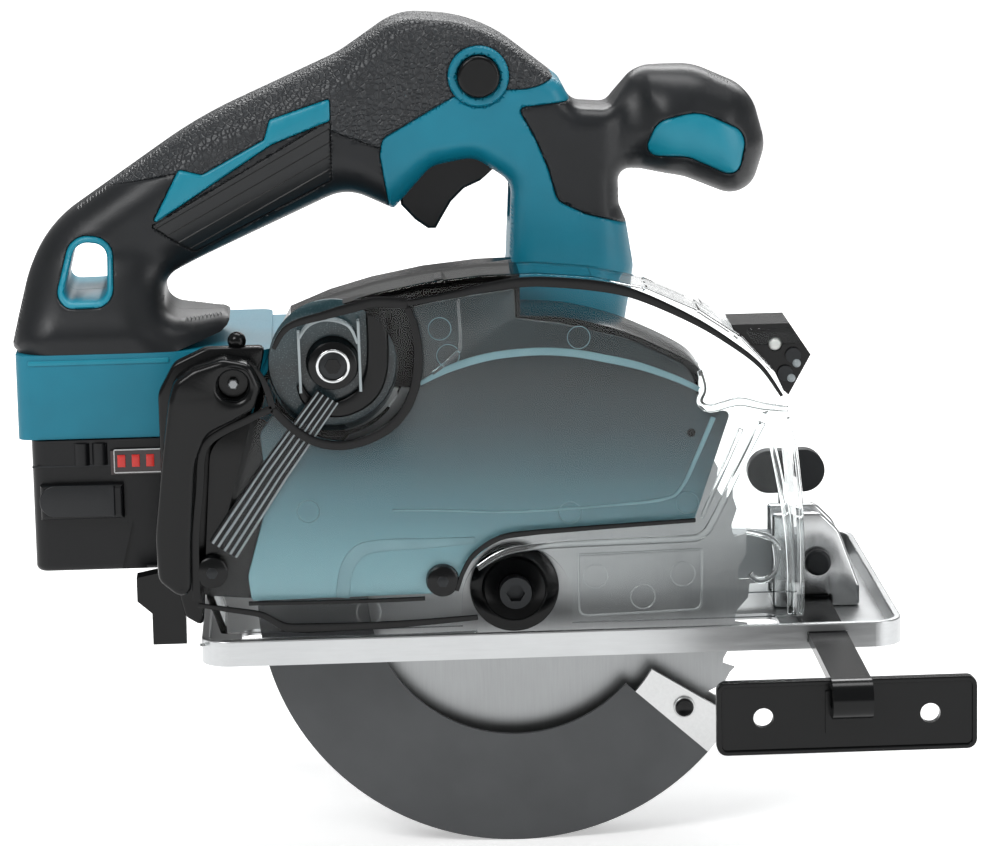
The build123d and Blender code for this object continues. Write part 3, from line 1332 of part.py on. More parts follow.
with BuildPart() as battery_button:
    block((button_left, battery_far - button_depth + face_clearance, button_low),
          (button_left + button_width, battery_far + button_stand_out, button_high))
    fillet(battery_button.faces().sort_by(Axis.Y)[-1].edges(), radius=1.0)
save(battery_button.part, "battery_button")
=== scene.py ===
"""Looks of a battery circular saw for metal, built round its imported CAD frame."""

import bpy
import bmesh
import math
import numpy as np
from mathutils import Matrix, Vector, geometry


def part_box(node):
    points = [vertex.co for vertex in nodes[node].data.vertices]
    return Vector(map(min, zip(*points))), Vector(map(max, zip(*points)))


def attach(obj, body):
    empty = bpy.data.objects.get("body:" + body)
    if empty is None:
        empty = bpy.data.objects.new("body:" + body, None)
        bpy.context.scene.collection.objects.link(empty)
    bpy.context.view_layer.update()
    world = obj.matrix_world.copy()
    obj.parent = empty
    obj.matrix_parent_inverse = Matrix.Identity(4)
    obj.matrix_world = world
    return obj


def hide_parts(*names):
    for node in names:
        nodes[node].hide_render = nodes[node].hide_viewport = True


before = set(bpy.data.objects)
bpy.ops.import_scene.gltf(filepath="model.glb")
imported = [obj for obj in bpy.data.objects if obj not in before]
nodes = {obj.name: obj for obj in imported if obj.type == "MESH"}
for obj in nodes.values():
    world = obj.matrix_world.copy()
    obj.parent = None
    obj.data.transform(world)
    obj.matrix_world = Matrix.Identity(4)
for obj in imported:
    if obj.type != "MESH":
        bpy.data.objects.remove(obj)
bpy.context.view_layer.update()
MM = 0.001


# -------- shader expressions
class Value:
    """A socket of a material's tree, or a plain number, with arithmetic."""

    def __init__(self, surface, socket):
        self.surface = surface
        self.socket = socket

    def math(self, operation, *others):
        return self.surface.node("ShaderNodeMath", {"operation": operation},
                                 dict(enumerate((self, *others))))

    def __add__(self, other):
        return self.math("ADD", other)

    __radd__ = __add__

    def __sub__(self, other):
        return self.math("SUBTRACT", other)

    def __rsub__(self, other):
        return self.surface.node("ShaderNodeMath", {"operation": "SUBTRACT"}, {0: other, 1: self})

    def __mul__(self, other):
        return self.math("MULTIPLY", other)

    __rmul__ = __mul__

    def __truediv__(self, other):
        return self.math("DIVIDE", other)

    def over(self, edge, blur=0.0):
        """1 where the value is over the edge, 0 below, with an optional soft step."""
        if not blur:
            return self.math("GREATER_THAN", edge)
        return self.surface.node("ShaderNodeMapRange", {"clamp": True},
                                 {0: self, 1: edge - blur, 2: edge + blur, 3: 0.0, 4: 1.0})

    def least(self, other):
        return self.math("MINIMUM", other)

    def most(self, other):
        return self.math("MAXIMUM", other)


class Surface:
    """A material made of nodes, with one Principled shader."""

    def __init__(self, name, **principled):
        self.material = bpy.data.materials.new(name)
        self.material.use_nodes = True
        self.tree = self.material.node_tree
        self.shader = self.tree.nodes["Principled BSDF"]
        self.put(self.shader, principled)

    def put(self, shader_node, values):
        for key, value in values.items():
            socket = shader_node.inputs[key.replace("_", " ") if isinstance(key, str) else key]
            if isinstance(value, Value):
                self.tree.links.new(value.socket, socket)
            else:
                socket.default_value = value

    def node(self, kind, settings=None, values=None, output=0):
        made = self.tree.nodes.new(kind)
        for key, value in (settings or {}).items():
            if key == "stops":
                ramp = made.color_ramp.elements
                while len(ramp) < len(value):
                    ramp.new(0.5)
                for stop, (place, colour) in zip(ramp, value):
                    stop.position = place
                    stop.color = colour
            else:
                setattr(made, key, value)
        self.put(made, values or {})
        return Value(self, made.outputs[output])

    def place(self):
        return self.node("ShaderNodeTexCoord", output="Object")

    def axes(self):
        """X, Y and Z of the surface point, in millimetres."""
        split = self.tree.nodes.new("ShaderNodeSeparateXYZ")
        self.put(split, {0: self.place()})
        return [Value(self, split.outputs[index]) * 1000.0 for index in range(3)]

    def stretched(self, factors):
        return self.node("ShaderNodeMapping", None, {"Vector": self.place(), "Scale": factors})

    def noise(self, scale, detail=3.0, vector=None, roughness=0.55):
        return self.node("ShaderNodeTexNoise", None, {
            "Vector": vector or self.place(), "Scale": scale, "Detail": detail, "Roughness": roughness})

    def cells(self, scale, feature):
        return self.node("ShaderNodeTexVoronoi", {"feature": feature},
                         {"Vector": self.place(), "Scale": scale})

    def mix(self, share, first, second):
        made = self.tree.nodes.new("ShaderNodeMix")
        made.data_type = "RGBA"
        self.put(made, {0: share, 6: first, 7: second})
        return Value(self, made.outputs[2])

    def bump(self, height, distance, strength=1.0):
        return self.node("ShaderNodeBump", None,
                         {"Strength": strength, "Distance": distance, "Height": height})

    def shade(self, **principled):
        self.put(self.shader, principled)
        return self.material


def tint(code, alpha=1.0):
    """Linear colour of a hex code."""
    parts = [int(code[index:index + 2], 16) / 255 for index in (0, 2, 4)]
    linear = [part / 12.92 if part <= 0.04045 else ((part + 0.055) / 1.055) ** 2.4 for part in parts]
    return (*linear, alpha)


# -------- finishes
def moulded(name, code, shade_code, roughness, grain=0.04, size=1400.0, gleam=0.5):
    """Moulded plastic: faint cloudiness, fine spark-eroded grain."""
    cloud_size, spread = 60.0, 0.16
    surface = Surface(name, Specular_IOR_Level=gleam)
    cloud = surface.noise(cloud_size, 2.0)
    grit = surface.noise(size, 4.0, roughness=0.7)
    return surface.shade(
        Base_Color=surface.mix(cloud.over(0.5, 0.25), tint(shade_code), tint(code)),
        Roughness=roughness - spread / 2 + grit * spread, Normal=surface.bump(grit, grain * MM))


def metal(name, code, roughness, brushing=(1.0, 1.0, 1.0), scale=900.0, marks=0.08, metallic=1.0):
    """Bare metal with brush or grinding marks along the short factor's axis."""
    stain_size, mark_depth, darker = 45.0, 0.012, 0.82
    surface = Surface(name, Metallic=metallic)
    lines = surface.noise(scale, 5.0, surface.stretched(brushing), 0.65)
    stain = surface.noise(stain_size, 3.0)
    dark = (*(part * darker for part in tint(code)[:3]), 1.0)
    return surface.shade(
        Base_Color=surface.mix((lines * 0.6 + stain * 0.4).over(0.5, 0.25), dark, tint(code)),
        Roughness=roughness - marks + lines * 2 * marks, Normal=surface.bump(lines, mark_depth * MM))


def leather_grain(name, code, lit_top_code):
    """Soft overmould with a leather-like grain; its pebble tops are painted lighter as highlight and the
    cracks between them darker as painted shade.
    """
    wander_size, pebble_size, flat_top, grain_depth = 260.0, 640.0, 0.22, 0.34
    surface = Surface(name, Specular_IOR_Level=0.42)
    wander = surface.noise(wander_size, 2.0)
    pebbles = surface.cells(pebble_size, "DISTANCE_TO_EDGE").least(flat_top) * 3.2 + wander * 0.5
    # Painted highlight and shade: the colour follows the pebbles, lighter on their tops, darker in the
    # cracks
    return surface.shade(
        Base_Color=surface.mix(pebbles.over(0.55, 0.35), tint(code), tint(lit_top_code)),
        Roughness=0.52 - pebbles * 0.14, Normal=surface.bump(pebbles, grain_depth * MM, 0.9))


def ribbed(name, code, shade_code, slope_deg, pitch):
    """Smooth overmould with overlapping ribs that run along the grip, with painted shade on the step of each
    rib.
    """
    rib_depth, slope = 0.55, math.radians(slope_deg)
    surface = Surface(name)
    x, y, z = surface.axes()
    across = x * -math.sin(slope) + z * math.cos(slope)
    share = (across / pitch).math("FRACT")
    ramp = share.least((1.0 - share) * 9.0)
    # Painted shade: the steep step of each rib is coloured darker
    return surface.shade(
        Base_Color=surface.mix(share.over(0.88, 0.06), tint(code), tint(shade_code)),
        Roughness=0.5, Normal=surface.bump(ramp, rib_depth * MM))


def clear(name, code, roughness=0.03, ior=1.49):
    """Clear moulded plastic, faintly hazy."""
    surface = Surface(name, IOR=ior, Transmission_Weight=1.0, Base_Color=tint(code))
    haze = surface.noise(90.0, 2.0)
    return surface.shade(Roughness=roughness + haze * 0.02, Normal=surface.bump(haze, 0.05 * MM))


teal_plastic = moulded("teal_plastic", "017F98", "00758D", 0.42)
black_plastic = moulded("black_plastic", "131416", "0F1012", 0.34, 0.02, gleam=0.28)
gloss_black = moulded("satin_black", "0B0C0D", "08090A", 0.22, 0.01, gleam=0.26)
coated_black = moulded("coated_black", "0E0F10", "0A0B0C", 0.20, 0.004, gleam=0.22)
plated = metal("plated_bracket", "D2D4D5", 0.24, (1.0, 1.0, 0.3), marks=0.05)
# The grip's lighter colour is painted highlight on the pebble tops
soft_grip = leather_grain("leather_grip", "1D1F22", "2E3134")
# The ribbed rubber's second, darker colour is painted shade on the rib steps
ribbed_rubber = ribbed("ribbed_rubber", "1C1E20", "0C0D0E", 28.6, 3.7)
soft_smooth = moulded("smooth_rubber", "1E2023", "191B1D", 0.38, 0.02, 2200.0, 0.34)
teal_trim = moulded("teal_trim", "0A8BA2", "05829A", 0.40)
base_metal = metal("base_alloy", "C9CBCC", 0.34, (0.08, 1.0, 1.0))
bracket_metal = metal("plated_steel", "BDBFC1", 0.30, (1.0, 1.0, 0.1))
black_steel = metal("black_oxide", "2A2C2E", 0.42, metallic=0.6)
bright_steel = metal("bright_steel", "C6C8CA", 0.26)
blade_steel = metal("blade_steel", "A2A4A5", 0.36, (1.0, 1.0, 0.05), 1500.0, 0.03)
alloy_grey = metal("die_cast", "9EA1A3", 0.48, scale=1800.0)
guard_paint = moulded("guard_paint", "4A4C4E", "424446", 0.45, 0.03)
tip_metal = metal("tip_alloy", "D5D6D6", 0.32)
copper = metal("copper_wire", "B0683A", 0.35, (1.0, 0.1, 1.0))
lamination = metal("sheet_stack", "7C7F82", 0.45, (1.0, 20.0, 1.0), 400.0)
cell_wrap = moulded("cell_wrap", "2F6E9E", "2A6490", 0.3, 0.01)
board_green = moulded("board_green", "1E6B3C", "185A32", 0.35, 0.02)
brass_contact = metal("contact_brass", "C9A45A", 0.3)
clear_plastic = clear("clear_cover", "FAFCFC", 0.02, 1.19)
clear_ridge = clear("clear_ridge", "F6F9F9", 0.03)
chrome = metal("bright_ring", "D8DADB", 0.14)
# Light grey strips that stand in for the highlights on clear ridges
highlight_strip = moulded("painted_highlight_strip", "A9B3B6", "8E989B", 0.15, 0.005)
smoked_plastic = clear("smoked_panel", "8FA3A8", 0.10)
lamp_lens = moulded("lamp_lens", "F4F6F2", "E8EAE6", 0.15, 0.005)
gauge_window = moulded("gauge_window", "2A1014", "221012", 0.12, 0.005)

node_finish = [
    (base_metal, "base_plate"),
    (bracket_metal, "pivot_bracket depth_guide fence_clamp"),
    (black_steel, "pivot_pin fence_screw outer_flange blade_bolt shaft_lock cover_bolt cover_screws "
                  "handle_screws"),
    (coated_black, "rip_fence"),
    (blade_steel, "blade"),
    (bright_steel, "inner_flange spindle idler_shaft rotor_shaft bearings guard_spring depth_bolt"),
    (lamination, "rotor_core stator"),
    (black_plastic, "cooling_fan motor_housing motor_end_cap depth_lever trigger trigger_switch "
                    "battery_lower_case battery_upper_case"),
    (alloy_grey, "gear_case bearing_plate"),
    (copper, "windings"),
    (guard_paint, "guard_shell"),
    (tip_metal, "guard_tip"),
    (gloss_black, "blade_case rear_frame chip_door chip_latch lamp_housing lock_button"),
    (clear_plastic, "clear_cover"),
    (smoked_plastic, "tinted_panel"),
    (lamp_lens, "lamp_led"),
    (teal_plastic, "handle_shell_near handle_shell_far battery_dock"),
    (soft_grip, "grip_skin_near grip_skin_far"),
    (teal_trim, "grip_stripes strap_ring knob_inserts battery_button"),
    (soft_smooth, "front_grip_near front_grip_far"),
    (brass_contact, "dock_terminals"),
    (board_green, "control_board"),
    (cell_wrap, "battery_cells"),
    (gauge_window, "battery_gauge"),
]
for finish, names in node_finish:
    for name in names.split():
        mesh = nodes[name].data
        mesh.materials.clear()
        mesh.materials.append(finish)

# -------- pieces shaped from a side outline
def divided(points, step):
    """Closed line with its long stretches divided."""
    result = []
    for index, point in enumerate(points):
        following = points[(index + 1) % len(points)]
        parts = max(1, math.ceil((following - point).length / step))
        result += [point.lerp(following, part / parts) for part in range(parts)]
    return result


def rounded(corners, step=1.2):
    """Closed outline in X and Z, millimetres, from corners with a rounding radius each."""
    points = []
    for index, (x, z, radius) in enumerate(corners):
        here = Vector((x, z))
        before = (Vector(corners[index - 1][:2]) - here).normalized()
        after = (Vector(corners[(index + 1) % len(corners)][:2]) - here).normalized()
        half_angle = before.angle(after) / 2
        reach = radius / math.tan(half_angle)
        if reach < 0.01:
            points.append(here)
            continue
        centre = here + (before + after).normalized() * radius / math.sin(half_angle)
        steps = max(3, int(radius * (math.pi - 2 * half_angle) / step))
        first, last = here + before * reach - centre, here + after * reach - centre
        points += [centre + radius * first.slerp(last, part / steps) for part in range(steps + 1)]
    return divided(points, step)


def straight(places):
    return [Vector(place) for place in places]


def oblong(left, low, right, high, radius, step):
    """Rectangle with rounded corners."""
    return rounded([(left, low, radius), (left, high, radius), (right, high, radius), (right, low, radius)],
                   step)


def circle_line(x, z, radius, count=40):
    turns = [2 * math.pi * index / count for index in range(count)]
    return [Vector((x + radius * math.cos(turn), z + radius * math.sin(turn))) for turn in turns]


def table(points):
    return np.array([tuple(point) for point in points])


def within(spots, line):
    """Which of the spots lie inside a closed line."""
    x, z = spots[:, 0], spots[:, 1]
    count = np.zeros(len(spots), dtype=int)
    for (ax, az), (bx, bz) in zip(line, np.roll(line, -1, axis=0)):
        crosses = (az > z) != (bz > z)
        if crosses.any():
            count[crosses] += x[crosses] < (bx - ax) * (z[crosses] - az) / (bz - az) + ax
    return count % 2 == 1


def distance(spots, starts, ends):
    """Distance of each spot to the nearest of the stretches."""
    best = np.full(len(spots), 1e6)
    for start, end in zip(starts, ends):
        along = end - start
        share = np.clip(((spots - start) @ along) / max(along @ along, 1e-12), 0, 1)
        gap = spots - start - share[:, None] * along
        best = np.minimum(best, np.hypot(gap[:, 0], gap[:, 1]))
    return best


def smooth_step(value):
    value = np.clip(value, 0, 1)
    return value * value * (3 - 2 * value)


# Millimetres: size of the cell that holds one fill point, least gap between the fill and a line, the
# half gap between the two halves of a part, and the least Y of the outer skin
FILL_CELL, FILL_GAP, HALF_GAP, SKIN_FROM = 0.5, 0.6, 0.12, 6.0


class Layout:
    """A side outline with seams on it, divided into triangles that keep to every line."""

    def __init__(self, outline, seams, grid=2.2, rim_rings=(0.3, 1.0, 2.1, 3.6, 5.5, 8.0, 11.0, 14.5),
                 seam_rings=(0.25, 0.6, 1.1)):
        self.outline = table(outline)
        lines = [self.outline] + [table(seam) for seam in seams]
        starts = np.concatenate(lines)
        ends = np.concatenate([np.roll(line, -1, axis=0) for line in lines])
        spots = []
        for number, line in enumerate(lines):
            along = np.roll(line, -1, axis=0) - line
            length = np.hypot(along[:, 0], along[:, 1])
            middle = line + along / 2
            across = np.stack([-along[:, 1], along[:, 0]], 1) / length[:, None]
            for gap in rim_rings if number == 0 else seam_rings:
                for side in (-1, 1):
                    ring = middle + side * gap * across
                    ring = ring[within(ring, self.outline)]
                    spots.append(ring[distance(ring, starts, ends) > 0.9 * gap])
        low, high = self.outline.min(0), self.outline.max(0)
        columns, rows = np.meshgrid(*(np.arange(low[axis], high[axis], grid) for axis in (0, 1)))
        fill = np.stack([columns.ravel(), rows.ravel()], 1)
        fill = fill[within(fill, self.outline)]
        spots.append(fill[distance(fill, starts, ends) > FILL_GAP])
        kept = {}
        for x, z in np.concatenate(spots):
            kept.setdefault((round(x / FILL_CELL), round(z / FILL_CELL)), Vector((x, z)))
        links, points = [], list(kept.values())
        for line in lines:
            first = len(points)
            points += [Vector(point) for point in line]
            links += [(first + index, first + (index + 1) % len(line)) for index in range(len(line))]
        made = geometry.delaunay_2d_cdt(points, links, [], 0, 1e-4)
        self.spots = table(made[0])
        faces = np.array(made[2])
        corners = self.spots[faces]
        turn = np.cross(corners[:, 1] - corners[:, 0], corners[:, 2] - corners[:, 0])
        faces[turn < 0] = faces[turn < 0][:, ::-1]
        centres = self.spots[faces].mean(1)
        inside = within(centres, self.outline) & (np.abs(turn) > 1e-5)
        self.faces, self.centres = faces[inside], centres[inside]

    def sort(self, regions):
        """Give each triangle the first region whose line holds it; None is a hole."""
        self.region = np.full(len(self.faces), -1)
        for number, (name, line) in enumerate(regions):
            free = self.region < 0
            held = np.ones(len(self.faces), bool) if line is None else within(self.centres, table(line))
            self.region[free & held] = number
        self.names = [name for name, line in regions]
        self.sides = {}
        for face, corners in enumerate(self.faces):
            for index in range(3):
                pair = (corners[index], corners[(index + 1) % 3])
                self.sides.setdefault(tuple(sorted(pair)), []).append((face, pair))

    def piece(self, name, height, lift, edge, finish, room=None, room_reach=0.0, wells=()):
        """Two mirrored solids over one region: rounded at its seams, hollow where the room is."""
        number = self.names.index(name)
        mine = np.flatnonzero(self.region == number)
        seams, walls = [], []
        for pair, users in self.sides.items():
            own = [user for user in users if self.region[user[0]] == number]
            if len(own) == 1:
                walls.append(own[0])
                if len(users) == 2:
                    seams.append(pair)
        used = np.unique(self.faces[mine])
        depth = np.zeros(len(self.spots))
        depth[used] = height(self.spots[used]) + lift
        if seams:
            seams = np.array(seams)
            gap = distance(self.spots[used], self.spots[seams[:, 0]], self.spots[seams[:, 1]])
            depth[used] -= edge - np.sqrt(edge ** 2 - (edge - np.minimum(gap, edge)) ** 2)
        inner = np.full(len(self.faces), HALF_GAP)
        if room is not None:
            inner[within(self.centres, table(room))] = room_reach
        solid = bmesh.new()
        for side in (-1, 1):
            corner = {}

            def vertex(spot, reach):
                key = (spot, round(reach, 4))
                if key not in corner:
                    x, z = self.spots[spot]
                    corner[key] = solid.verts.new((x * MM, side * reach * MM, z * MM))
                return corner[key]

            def face(places):
                different = list(dict.fromkeys(places))
                if len(different) > 2 and solid.faces.get(different) is None:
                    solid.faces.new(different)

            for index in mine:
                spots = self.faces[index]
                face([vertex(spot, depth[spot]) for spot in spots])
                face([vertex(spot, inner[index]) for spot in spots])
            for index, (first, last) in walls:
                face([vertex(first, depth[first]), vertex(last, depth[last]),
                      vertex(last, inner[index]), vertex(first, inner[index])])
            for pair, users in self.sides.items():
                own = [user[0] for user in users if self.region[user[0]] == number]
                if len(own) == 2 and inner[own[0]] != inner[own[1]]:
                    face([vertex(pair[0], inner[own[0]]), vertex(pair[1], inner[own[0]]),
                          vertex(pair[1], inner[own[1]]), vertex(pair[0], inner[own[1]])])
        for x, z, radius, floor_y in wells:
            middle = Vector((x * MM, z * MM))
            cap = [item for item in solid.faces if item.calc_center_median().y > SKIN_FROM * MM
                   and abs(item.normal.y) > 0.2
                   and (item.calc_center_median().xz - middle).length < radius * MM]
            if cap:
                made = bmesh.ops.extrude_face_region(solid, geom=cap)
                for item in made["geom"]:
                    if isinstance(item, bmesh.types.BMVert):
                        item.co.y = floor_y * MM
                bmesh.ops.delete(solid, geom=cap, context="FACES")
        return finished(solid, name, finish)


def finished(solid, name, finish, sharp_deg=38.0):
    """Turn a worked-out solid into a piece with outward faces and soft shading."""
    bmesh.ops.remove_doubles(solid, verts=solid.verts, dist=0.5e-5)
    bmesh.ops.dissolve_degenerate(solid, edges=solid.edges, dist=1e-6)
    bmesh.ops.holes_fill(solid, edges=[edge for edge in solid.edges if edge.is_boundary], sides=8)
    bmesh.ops.recalc_face_normals(solid, faces=solid.faces)
    mesh = bpy.data.meshes.new(name)
    solid.to_mesh(mesh)
    solid.free()
    mesh.polygons.foreach_set("use_smooth", [True] * len(mesh.polygons))
    mesh.set_sharp_from_angle(angle=math.radians(sharp_deg))
    mesh.materials.append(finish)
    piece = bpy.data.objects.new(name, mesh)
    bpy.context.collection.objects.link(piece)
    return piece


def add(piece, body, slot_name, *replaced):
    """Let a piece ride on its body, and hide the CAD nodes that it replaces; the slot name is not used."""
    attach(piece, body)
    if replaced:
        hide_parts(*replaced)
    return piece


# -------- handle, grip and knob
motor_x, motor_z, motor_reach = -4.3, 48.2, 34.3
seat_turns = [math.radians(angle) for angle in range(28, 123, 5)]
motor_seat = [(motor_x + motor_reach * math.cos(turn), motor_z + motor_reach * math.sin(turn), 0.0)
              for turn in seat_turns]
handle_line = rounded([
    (-155.8, 93.0, 2.0), (-147.5, 127.3, 40.0), (-95.0, 162.6, 150.0), (-50.0, 182.2, 30.0),
    (-31.4, 194.1, 20.0), (-5.8, 192.1, 45.0), (19.5, 172.0, 4.0), (23.5, 164.2, 5.0), (34.5, 163.4, 4.0),
    (43.5, 175.6, 9.0), (62.0, 175.6, 20.0), (80.0, 167.5, 14.0), (84.5, 150.5, 12.0), (78.5, 132.0, 9.0),
    (58.0, 140.6, 16.0), (37.0, 144.2, 3.2), (37.2, 133.0, 3.0), (39.6, 127.0, 4.0), (42.0, 112.0, 8.0),
    (38.0, 92.0, 8.0), (30.0, 66.5, 1.0), *motor_seat, (-20.0, 84.0, 4.0), (-4.0, 96.0, 8.0),
    (1.8, 114.0, 8.0), (3.2, 141.0, 7.0), (-8.5, 149.0, 8.0), (-22.0, 146.5, 8.0), (-34.2, 133.2, 1.2),
    (-48.7, 139.7, 14.0), (-107.2, 113.7, 7.0), (-107.2, 101.4, 5.5), (-83.5, 101.4, 1.8),
    (-90.0, 96.6, 3.0), (-104.0, 93.0, 4.0)])
strap_line = rounded([
    (-139.3, 108.6, 3.0), (-124.8, 108.8, 3.5), (-124.8, 125.4, 4.5), (-134.6, 126.4, 5.0)], 0.8)
ring_line = rounded([
    (-141.9, 106.6, 5.0), (-122.9, 106.8, 5.5), (-122.9, 127.6, 6.5), (-136.2, 128.6, 7.0)], 0.8)
stripe_line = rounded([
    (-110.6, 130.9, 0.6), (-101.4, 148.4, 1.2), (-94.2, 146.6, 2.0), (-74.4, 157.2, 1.2),
    (-72.6, 163.3, 1.2), (-53.5, 169.6, 0.8), (-53.5, 162.6, 0.8), (-72.0, 155.6, 4.0)], 0.9)
pad_line = rounded([(-53.4, 163.0, 0.8), (-53.6, 143.4, 1.0), (-97.4, 121.6, 2.0), (-110.8, 130.6, 0.6)])
button_x, button_z, collar_half = -6.8, 175.4, 18.2
hole_line, collar_line = circle_line(button_x, button_z, 6.75), circle_line(button_x, button_z, 9.6, 52)
body_line = rounded([
    (-38.3, 151.0, 3.0), (-37.6, 156.4, 3.5), (-14.8, 169.2, 2.0), (1.0, 170.9, 3.0), (10.9, 171.0, 20.0),
    (21.0, 176.5, 1.0), (60.0, 176.0, 1.0), (60.0, 40.0, 1.0), (-60.0, 40.0, 1.0), (-40.0, 98.0, 1.0),
    (-20.0, 120.0, 1.0), (-35.3, 131.8, 1.0)])
front_line = rounded([
    (5.4, 165.1, 1.4), (21.6, 166.7, 2.0), (30.0, 182.0, 1.0), (100.0, 190.0, 1.0), (100.0, 125.0, 1.0),
    (40.6, 126.4, 1.0), (34.5, 128.6, 4.0), (26.0, 130.9, 4.0), (17.4, 135.2, 4.0), (14.6, 145.6, 20.0),
    (10.8, 155.0, 20.0)])
panel_line = rounded([
    (44.5, 148.6, 3.5), (49.0, 160.0, 7.0), (62.0, 163.0, 14.0), (77.5, 155.5, 6.0), (74.5, 140.8, 4.0),
    (58.5, 148.4, 12.0)], 0.9)
leather_line = rounded([
    (-126.0, 142.6, 1.0), (-101.2, 147.4, 1.0), (-94.2, 145.8, 1.0), (-74.0, 156.8, 1.0),
    (-60.0, 163.0, 1.0), (-50.0, 158.0, 6.0), (-37.0, 153.0, 1.0), (-14.5, 168.5, 1.0),
    (30.0, 171.0, 1.0), (30.0, 215.0, 1.0), (-126.0, 215.0, 1.0)])
well_radius, well_floor = 3.9, 11.9
screw_places = [
    (-146.0, 101.0), (-120.0, 135.5), (-76.0, 149.0), (-28.0, 180.0), (28.0, 118.0), (16.0, 90.0)]
screw_wells = [(x, z, well_radius, well_floor) for x, z in screw_places]
room_line = divided(straight([
    (-37.5, 128.0), (-10.0, 118.0), (6.0, 130.0), (3.0, 144.0), (1.0, 154.5), (-37.0, 154.5)]), 1.5)

handle_layout = Layout(handle_line, [
    strap_line, ring_line, stripe_line, pad_line, hole_line, collar_line, body_line, front_line, panel_line,
    leather_line, room_line] + [circle_line(x, z, well_radius, 24) for x, z in screw_places])
handle_layout.sort([
    (None, strap_line), ("strap_loop", ring_line), (None, hole_line), ("button_collar", collar_line),
    ("grip_stripes_shaped", stripe_line), ("knob_panels", panel_line), ("front_grip", front_line),
    ("grip_pad", pad_line), ("handle_body", body_line), ("grip_leather", leather_line),
    ("grip_rubber", None)])
# The rim that the handle is rounded from leaves out the flat foot on the dock
dock_top, foot_top, foot_back_x, foot_front_x = 93.2, 101.0, -150.0, -83.6
above_dock = handle_layout.outline[:, 1] > dock_top
round_rim = handle_layout.outline[above_dock]
rim_next = np.roll(handle_layout.outline, -1, axis=0)[above_dock]
rim_x, rim_z = round_rim.T
soft = ~((rim_x < foot_front_x) & (rim_z < foot_top) & (rim_x > foot_back_x))
round_rim, rim_next = round_rim[soft], rim_next[soft]


def handle_depth(spots):
    """Half width of the handle at each spot: oval grip, flared foot, flat strut, round knob."""
    grip_half, foot_flare, knob_swell, neck_dip = 17.0, 14.0, 3.5, 2.6
    grip_edge, strut_edge, trigger_edge, knob_edge = 13.0, 7.2, 3.4, 11.0
    x, z = spots[:, 0], spots[:, 1]
    gap = distance(spots, round_rim, rim_next)
    foot = smooth_step((124.0 - z) / 27.0) * smooth_step((-84.0 - x) / 22.0)
    width = grip_half + foot_flare * foot + knob_swell * smooth_step((x - 42.0) / 12.0)
    width -= neck_dip * np.exp(-((x - 38.5) / 4.2) ** 2)
    edge = grip_edge - strut_edge * smooth_step((x + 58.0) / 36.0)
    edge += trigger_edge * np.exp(-((x + 16.0) / 18.0) ** 2 - ((z - 140.0) / 12.0) ** 2)
    edge += knob_edge * smooth_step((x - 36.0) / 10.0)
    gap = np.minimum(gap, edge)
    return width - edge + np.sqrt(edge ** 2 - (edge - gap) ** 2)


def collar_depth(spots):
    """The button's collar is flat."""
    return np.full(len(spots), collar_half)


body_nodes = ["handle_shell_near", "handle_shell_far"]
skin_nodes = ["grip_skin_near", "grip_skin_far"]
handle_pieces = [
    ("strap_loop", handle_depth, 0.5, 1.1, teal_trim, "teal_trim", ["strap_ring"]),
    ("button_collar", collar_depth, 0.0, 0.9, teal_plastic, "teal_plastic", []),
    ("grip_stripes_shaped", handle_depth, 0.7, 1.0, teal_trim, "teal_trim", ["grip_stripes"]),
    ("knob_panels", handle_depth, 0.1, 1.0, teal_trim, "teal_trim", ["knob_inserts"]),
    ("front_grip", handle_depth, 0.35, 0.9, soft_smooth, "soft_black",
     ["front_grip_near", "front_grip_far"]),
    ("grip_pad", handle_depth, 0.0, 0.6, ribbed_rubber, "soft_black", skin_nodes),
    ("handle_body", handle_depth, 0.1, 0.8, teal_plastic, "teal_plastic", body_nodes),
    ("grip_leather", handle_depth, 0.5, 0.5, soft_grip, "soft_black", skin_nodes),
    ("grip_rubber", handle_depth, 0.3, 0.5, soft_smooth, "soft_black", skin_nodes)]
room_reach = 7.7
for name, depth_rule, lift, edge, finish, slot_name, replaced in handle_pieces:
    piece = handle_layout.piece(name, depth_rule, lift, edge, finish, room_line, room_reach, screw_wells)
    add(piece, "saw_body", slot_name, *replaced)

# -------- plates, trims and turned pieces
def flowing(places, parts=6):
    """Smooth open line through the places."""
    spots = table([places[0], *places, places[-1]])
    share = np.linspace(0, 1, parts, endpoint=False)[:, None]
    runs = [0.5 * (2 * b + (c - a) * share + (2 * a - 5 * b + 4 * c - d) * share ** 2
                   + (3 * b - a - 3 * c + d) * share ** 3)
            for a, b, c, d in zip(spots, spots[1:], spots[2:], spots[3:])]
    return straight(np.concatenate([*runs, spots[-1:]]))


def wound(line, leftward):
    """The line's points, turning left round their area or right."""
    points = table(line)
    x, z = points.T
    area = np.sum(x * np.roll(z, -1) - np.roll(x, -1) * z)
    return points if (area > 0) == leftward else points[::-1]


def inset(line, gap):
    """A closed line moved to its left by a gap."""
    ahead = np.roll(line, -1, axis=0) - line
    ahead /= np.hypot(ahead[:, 0], ahead[:, 1])[:, None]
    both = ahead + np.roll(ahead, 1, axis=0)
    across = np.stack([-both[:, 1], both[:, 0]], 1)
    return line + gap * across / np.hypot(across[:, 0], across[:, 1])[:, None]


def hollow(line, wall):
    """The hole that leaves a frame of this wall inside a closed line."""
    return straight(inset(wound(line, True), wall))


